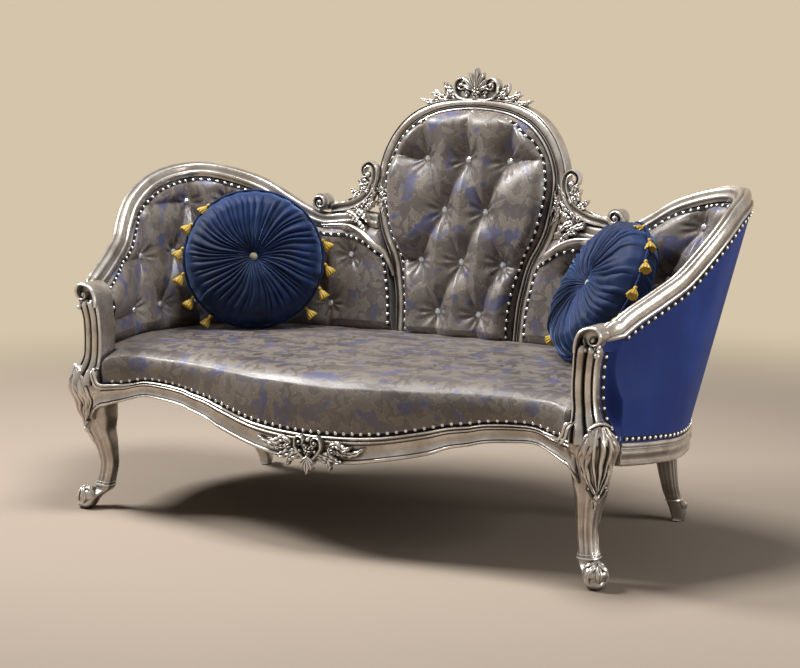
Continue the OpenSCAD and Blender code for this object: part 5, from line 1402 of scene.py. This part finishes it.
# Nails and gimp
def nail_row(nails, strip, P, N):
    """Domed nails at even distances along P on a flat strip of gimp; N points off the cover."""
    pitch, r, width, lift = 22.5, 4.9, 5.4, 1.4
    P, N, s = A(P), unit(A(N)), run_of(P)
    n = max(2, int(round(s[-1] / pitch)))
    ph, th = circle(10)[:, None], np.radians([6, 30, 55, 78, 96])[:, None, None]
    wide, high = r * np.sin(th), r * 0.72 * np.cos(th)
    for d in (np.arange(n) + 0.5) / n * s[-1]:
        p, q = (A([np.interp(d, s, column) for column in line.T]) for line in (P, N))
        q = unit(q)
        u = unit(np.cross(q, [0.31, 0.17, 0.93]))
        v = np.cross(q, u)
        nails.grid(p + q * lift + wide * (np.cos(ph) * u + np.sin(ph) * v) + high * q)
    W = unit(np.cross(unit(np.gradient(P, axis=0)), N)) * width
    strip.grid(np.stack([P + W * a + N * h for a, h in (
        (1, -1), (1, 0.5), (0.5, lift), (0, lift * 1.05), (-0.5, lift), (-1, 0.5), (-1, -1))], 1))


def seat_nails():
    """The nails along the front rail and round the medallion's pad."""
    nails, strip = Form(), Form()
    x = np.linspace(-FRONT_HALF + 7, FRONT_HALF - 7, 160)
    nail_row(nails, strip, np.stack([x, front_y(x) + 0.8, front_top(x) + 7.5], 1),
             np.stack([np.gradient(front_y(x), x), np.full(160, -1), np.full(160, 0.05)], 1))
    z = np.linspace(PAD_FOOT + 4, 940, 30)
    side = smooth(np.stack([med_inner_half(z) - 6.5, z], 1), 120)
    arch, o, b = med_at(np.linspace(21.4, 26, 50))
    arch = arch - o * (b + 7.5)[:, None]
    right = resample(np.vstack([side[side[:, 1] < arch[0, 1] - 4], arch]), 160)
    full = np.vstack([right, (right * [-1, 1])[::-1][1:]])
    x, z = full.T
    half = np.where(z > MED_TOP - 60, np.abs(x) + 7, med_inner_half(z))
    d = med_depth(x, z, np.maximum(half, np.abs(x) + 5))
    outward = unit(full - [0, 800]) * 0.35
    nail_row(nails, strip, on_back(x, z, -np.maximum(d, 9.5) - 0.4),
             np.stack([outward[:, 0], np.full(len(full), -1), outward[:, 1]], 1))
    nails.build("seat_nails", PEARL, slot="crystal")
    strip.build("seat_gimp", GIMP, slot="braid")


def wing_nails():
    """The nails round the wing pads, down the posts and along both edges of the outside panels."""
    nails, strip = Form(), Form()
    first = np.full(60, 0.45)
    z1 = np.linspace(PAD_FOOT + 6, edge(0.45)[0, 2] - 14, 60)
    stations = np.arange(STEPS + 1)
    top = np.linspace(0.8, np.interp(WALL_LENGTH - 8, length_at(stations), stations), 260)
    below = np.interp(rail(top)[:, 0] - MED_HALF, [-12, 8, 28, 58, 98, 150, 180], [72, 52, 35, 23, 13, 8, 0])
    z2 = edge(top)[:, 2] - 8.5 - below
    k2, z2 = np.r_[top, np.full(80, top[-1])], np.r_[z2, np.linspace(z2[-1] - 4, RIM + 16, 80)]
    nail_row(nails, strip, np.vstack([wall(first, z1, -wing_pad_depth(first, z1) - 0.3),
                                      wall(k2, z2, -wing_pad_depth(k2, z2) - 0.2)]),
             np.vstack([[0, -0.9, 0] - out(first), [0, 0, 0.5] - out(k2)]))
    z = np.linspace(side_top(0.0) + 6, POST_FOOT + POST_H - 2, 60)
    nail_row(nails, strip, post_at(1.0, 0.66, (z - POST_FOOT) / POST_H)[::-1] + [2.2, 0, 0],
             [[1, -0.45, 0]] * 60)
    k = np.linspace(0.4, 25.9, 240)
    for z in (side_top(k) + 9, edge(k)[:, 2] - 9):
        nail_row(nails, strip, wall(k, z, 21.3), out(k))
    both(nails, "wing_nails", PEARL, slot="crystal")
    both(strip, "wing_gimp", GIMP, slot="braid")


def wing_front_velvet():
    """Velvet turned round the front end of each wing."""
    rows = []
    for z in np.linspace(side_top(0.0) + 0.4, edge(0)[0, 2] - 2, 50):
        q = min((z - POST_FOOT) / POST_H, 1.0)
        at = [wall(k, z, n)[0] for k, n in ((0.7, 21.4), (0.25, 22.2), (0.02, 21.6))]
        if z > POST_FOOT + POST_H:
            at += [(SCROLL_X + 26, 14, z), (SCROLL_X + 20, 2, z)]
        else:
            at += [post_at(1.0, 0.8, q) + [1.6, 0, 0], post_at(1.0, 0.50, q) + [0.8, 0, 0]]
        skin = smooth(at, 18)
        skin[:, 2] = z
        rows.append(np.vstack([skin, (skin + [-2.5, 2.5, 0])[::-1]]))
    f = Form()
    f.grid(rows, caps="strip")
    both(f, "wing_front_velvet", PLAIN, slot="velvet")


seat_nails()
wing_nails()
wing_front_velvet()


# Pillows
def node_middle(name):
    o = frame["nodes"][name]
    P = A([list(o.matrix_world @ v.co) for v in o.data.vertices])
    return (P.max(0) + P.min(0)) / 2 * 1000 + [0, MID, 0]


def facing(k, turn, tilt):
    """The way a pillow faces: off the wing at station k, turned and tilted by degrees."""
    n, a, b = -out(k)[0], math.radians(turn), math.radians(tilt)
    x, y, z = math.cos(a) * math.cos(b), math.sin(a) * math.cos(b), math.sin(b)
    return A([n[0] * x - n[1] * y, n[1] * x + n[0] * y, z])


def pleated(seed, R=184.0, T=132.0, pleats=50):
    """Both faces of a round pillow gathered into pleats at its button, in its own axes."""
    g, a = np.random.default_rng(seed), circle(600)
    knots = np.cumsum(g.uniform(0.55, 1.5, pleats))
    where = np.interp(a, np.r_[0, knots / knots[-1] * 2 * math.pi], np.arange(pleats + 1))
    i, part = np.floor(where).astype(int) % pleats, where - np.floor(where)
    height, reach, skew = (g.uniform(lo, hi, pleats)[i]
                           for lo, hi in ((0.55, 1.25), (0.80, 1.20), (0.30, 0.70)))
    x = np.where(part < skew, part / skew, (1 - part) / (1 - skew))
    ridge = np.sin(x * math.pi / 2) ** 0.8 * height
    gathers = np.abs(np.sin(math.pi * where / 2)) ** 0.7 * 0.9
    rs = np.r_[0.045, 0.06, 0.085, np.linspace(0.11, 0.94, 58), 0.955, 0.97, 0.985, 1.0]
    prof = np.interp(rs, [0.045, 0.09, 0.14, 0.24, 0.34, 0.6, 0.82, 0.93, 0.985, 1.0],
                     [0.60, 0.70, 0.80, 0.92, 1.00, 0.985, 0.86, 0.64, 0.34, 0.10])
    prof = np.convolve(np.pad(prof, 3, "edge"), [0.05, 0.12, 0.2, 0.26, 0.2, 0.12, 0.05], "valid")
    rows = []
    for r, h in zip(rs, prof):
        amp = 8.2 * np.clip((r - 0.03) / 0.22, 0.18, 1) * np.clip((reach - r) / 0.22 + 0.25, 0.16, 1)
        amp = amp * (1 - step(r, 0.955, 1.0))
        b = a + 0.05 * math.sin(5 * r + seed) + 0.03 * np.sin(3 * a + 6 * r)
        z = h * T / 2 - 5.0 * step(r, 0.05, 0.4) + amp * (lerp(gathers, ridge, step(r, 0.10, 0.32)) - 0.25)
        z = z + 1.6 * np.sin(2 * a + seed) * math.sin(math.pi * r)
        rr = R * r * (1 + 0.006 * np.sin(a * pleats * 0.5) * (r > 0.9))
        rows.append(np.stack([rr * np.cos(b), rr * np.sin(b), z], 1))
    return np.concatenate([A(rows), (A(rows) * [1, 1, -1])[::-1]])


def button_faces():
    th, ph = np.meshgrid(np.radians([4, 25, 45, 65, 85, 100]), circle(28), indexing="ij")
    return [np.stack([11.5 * np.sin(th) * np.cos(ph), 11.5 * np.sin(th) * np.sin(ph),
                      way * (41 + 8 * np.cos(th))], -1) for way in (1, -1)]


def braid_strands(R=188.3, r=2.1):
    """Three strands laid round each other along the pillow's rim."""
    strands, t, a = [], circle(900), circle(6)[:, None]
    for q in circle(3):
        q = 92 * t + q
        P = np.stack([(R + r * np.cos(q)) * np.cos(t), (R + r * np.cos(q)) * np.sin(t), r * np.sin(q)], 1)
        T = unit(np.roll(P, -1, 0) - np.roll(P, 1, 0))
        U = unit(np.cross(T, [0, 0, 1]))
        strands.append(P[:, None] + r * (np.cos(a) * U[:, None] + np.sin(a) * np.cross(U, T)[:, None]))
    return strands


def tassel(deg, sway):
    """A tied tassel that hangs from the rim at an angle: a knot, a neck and a skirt of threads."""
    t, ph = math.radians(deg), circle(48)
    radial, low_one = A([math.cos(t), math.sin(t), 0]), step(-math.sin(t), 0.35, 0.8)
    d = unit(radial * lerp(0.62, 1.0, low_one) + A([0, -1, 0]) * lerp(0.85, 0.10, low_one) + A([0, 0, sway]))
    u = unit(np.cross(d, [0.1, 0.05, 1]))
    circle_at = np.cos(ph)[:, None] * u + np.sin(ph)[:, None] * np.cross(u, d)
    threads = 0.10 * np.cos(ph * 12) + 0.03 * np.cos(ph * 7 + deg)
    return A([radial * 191.5 + d * h + (r * (1 + threads * w))[:, None] * circle_at for h, r, w in (
        (0, 2.2, 0), (2, 4.2, 0), (6, 5.0, 0), (9, 4.2, 0), (10.5, 3.2, 0), (12, 4.6, 0.3), (18, 8.2, 0.8),
        (26, 11.6, 1), (33, 13.6, 1), (35, 13.0, 1), (34, 9, 1), (32, 3, 0))])


def pillow(side, seed, k, turn, tilt, tassels):
    """A pillow, drawn on the right and mirrored for the left one."""
    place = node_middle("pillow_" + side) * ([-1, 1, 1] if side == "left" else [1, 1, 1])
    Z = facing(k, turn, tilt)
    X = unit(np.cross([0, 0, 1], Z))
    Y = np.cross(Z, X)
    g = np.random.default_rng(seed + 5)
    for name, node, material, slot, grids_of, how in (
            ("pillow_cover", "pillow", VELVET, "velvet", [pleated(seed)], {}),
            ("pillow_button", "pillow_buttons", SATIN, "crystal", button_faces(), {}),
            ("pillow_cord", "pillow_braid", BRAID, "braid", braid_strands(), {"ring": True, "caps": False}),
            ("pillow_fringe", "pillow_tassels", SILK, "tassel",
             [tassel(deg, g.uniform(-0.12, 0.2)) for deg in tassels], {})):
        form = Form()
        for G in grids_of:
            form.grid(place + G[..., :1] * X + G[..., 1:2] * Y + G[..., 2:] * Z, **how)
        form = form.mirrored() if side == "left" else form
        form.build(name + "_" + side, material, body=side + "_pillow", slot=slot,
                               replaces=[node + "_" + side], crease=70)


pillow("left", 3, 16, -13.1, 15.67, [52 - 21 * i for i in range(6)] + [224 - 20 * i for i in range(4)])
pillow("right", 8, 12, 13.17, 30.1, [-32 + 22 * i for i in range(7)] + [205, 228])


# Stage and lamps, in metres
def backdrop():
    """Pale floor that keeps the shadow; away from the piece it has one even tone."""
    f = Finish("backdrop", (0.62, 0.51, 0.40), rough=0.9, Specular_IOR_Level=0.1)
    p = f.place()
    x, y, z = f.split(p)
    f.set("Base Color", f.mix((0.472, 0.389, 0.313), (0.500, 0.412, 0.330), f.noise(p, 0.9, 3)))
    seen = f.node("LightPath", "Is Camera Ray").max(f.node("LightPath", "Is Glossy Ray"))
    far = (x * x + y * y + z * z).sqrt().ramp(1.7, 3.6)
    even = f.node("Emission", 0, {0: BACKDROP_TONE})
    shown = f.node("MixShader", 0, {0: far * seen, 1: Value(f.t, f.b.outputs[0]), 2: even})
    f.t.links.new(shown.o, f.t.nodes["Material Output"].inputs[0])
    near, back, sweep_r, height, half = -12.0, 8.0, 2.0, 9.0, 12.0
    prof = [(near, 0.0), (back, 0.0)]
    prof += [(back + sweep_r * math.sin(a), sweep_r - sweep_r * math.cos(a))
             for a in np.linspace(0.1, math.pi / 2, 12)] + [(back + sweep_r, height)]
    s, c = math.sin(VIEW_TURN), math.cos(VIEW_TURN)
    V = [(x * c - y * s, x * s + y * c, z) for y, z in prof for x in (-half, half)]
    mesh = bpy.data.meshes.new("backdrop")
    mesh.from_pydata(V, [], [[2 * i, 2 * i + 1, 2 * i + 3, 2 * i + 2] for i in range(len(prof) - 1)])
    mesh.materials.append(f.m)
    for face in mesh.polygons:
        face.use_smooth = True
    link(bpy.data.objects.new("backdrop", mesh))


def room():
    """Reflections see a bright room, the camera sees the backdrop's tone, the rest stays dim."""
    world = bpy.data.worlds.new("room")
    bpy.context.scene.world = world
    world.use_nodes = True
    tree = world.node_tree
    lit, behind = tree.nodes["Background"], tree.nodes.new("ShaderNodeBackground")
    lit.inputs[0].default_value = (0.95, 0.92, 0.88, 1)
    behind.inputs[0].default_value = BACKDROP_TONE
    rays, pick = tree.nodes.new("ShaderNodeLightPath"), tree.nodes.new("ShaderNodeMixShader")
    tree.links.new((Value(tree, rays.outputs["Is Glossy Ray"]) * 0.54 + 0.05).o, lit.inputs[1])
    for source, socket in ((rays.outputs["Is Camera Ray"], pick.inputs[0]), (lit.outputs[0], pick.inputs[1]),
                           (behind.outputs[0], pick.inputs[2]),
                           (pick.outputs[0], tree.nodes["World Output"].inputs[0])):
        tree.links.new(source, socket)


make_camera()
bpy.context.scene.view_settings.view_transform = "Standard"
backdrop()
room()
area("top_box", (0.1, -0.05, 3.3), (1.0, 0.7), 76, (0, 0, 0.3))
area("key_box", (-2.5, -0.75, 3.1), (1.2, 1.0), 122, (0, 0, 0.6))
area("rim_box", (3.1, 0.35, 1.05), (0.9, 0.9), 27, (0.6, 0, 0.55))
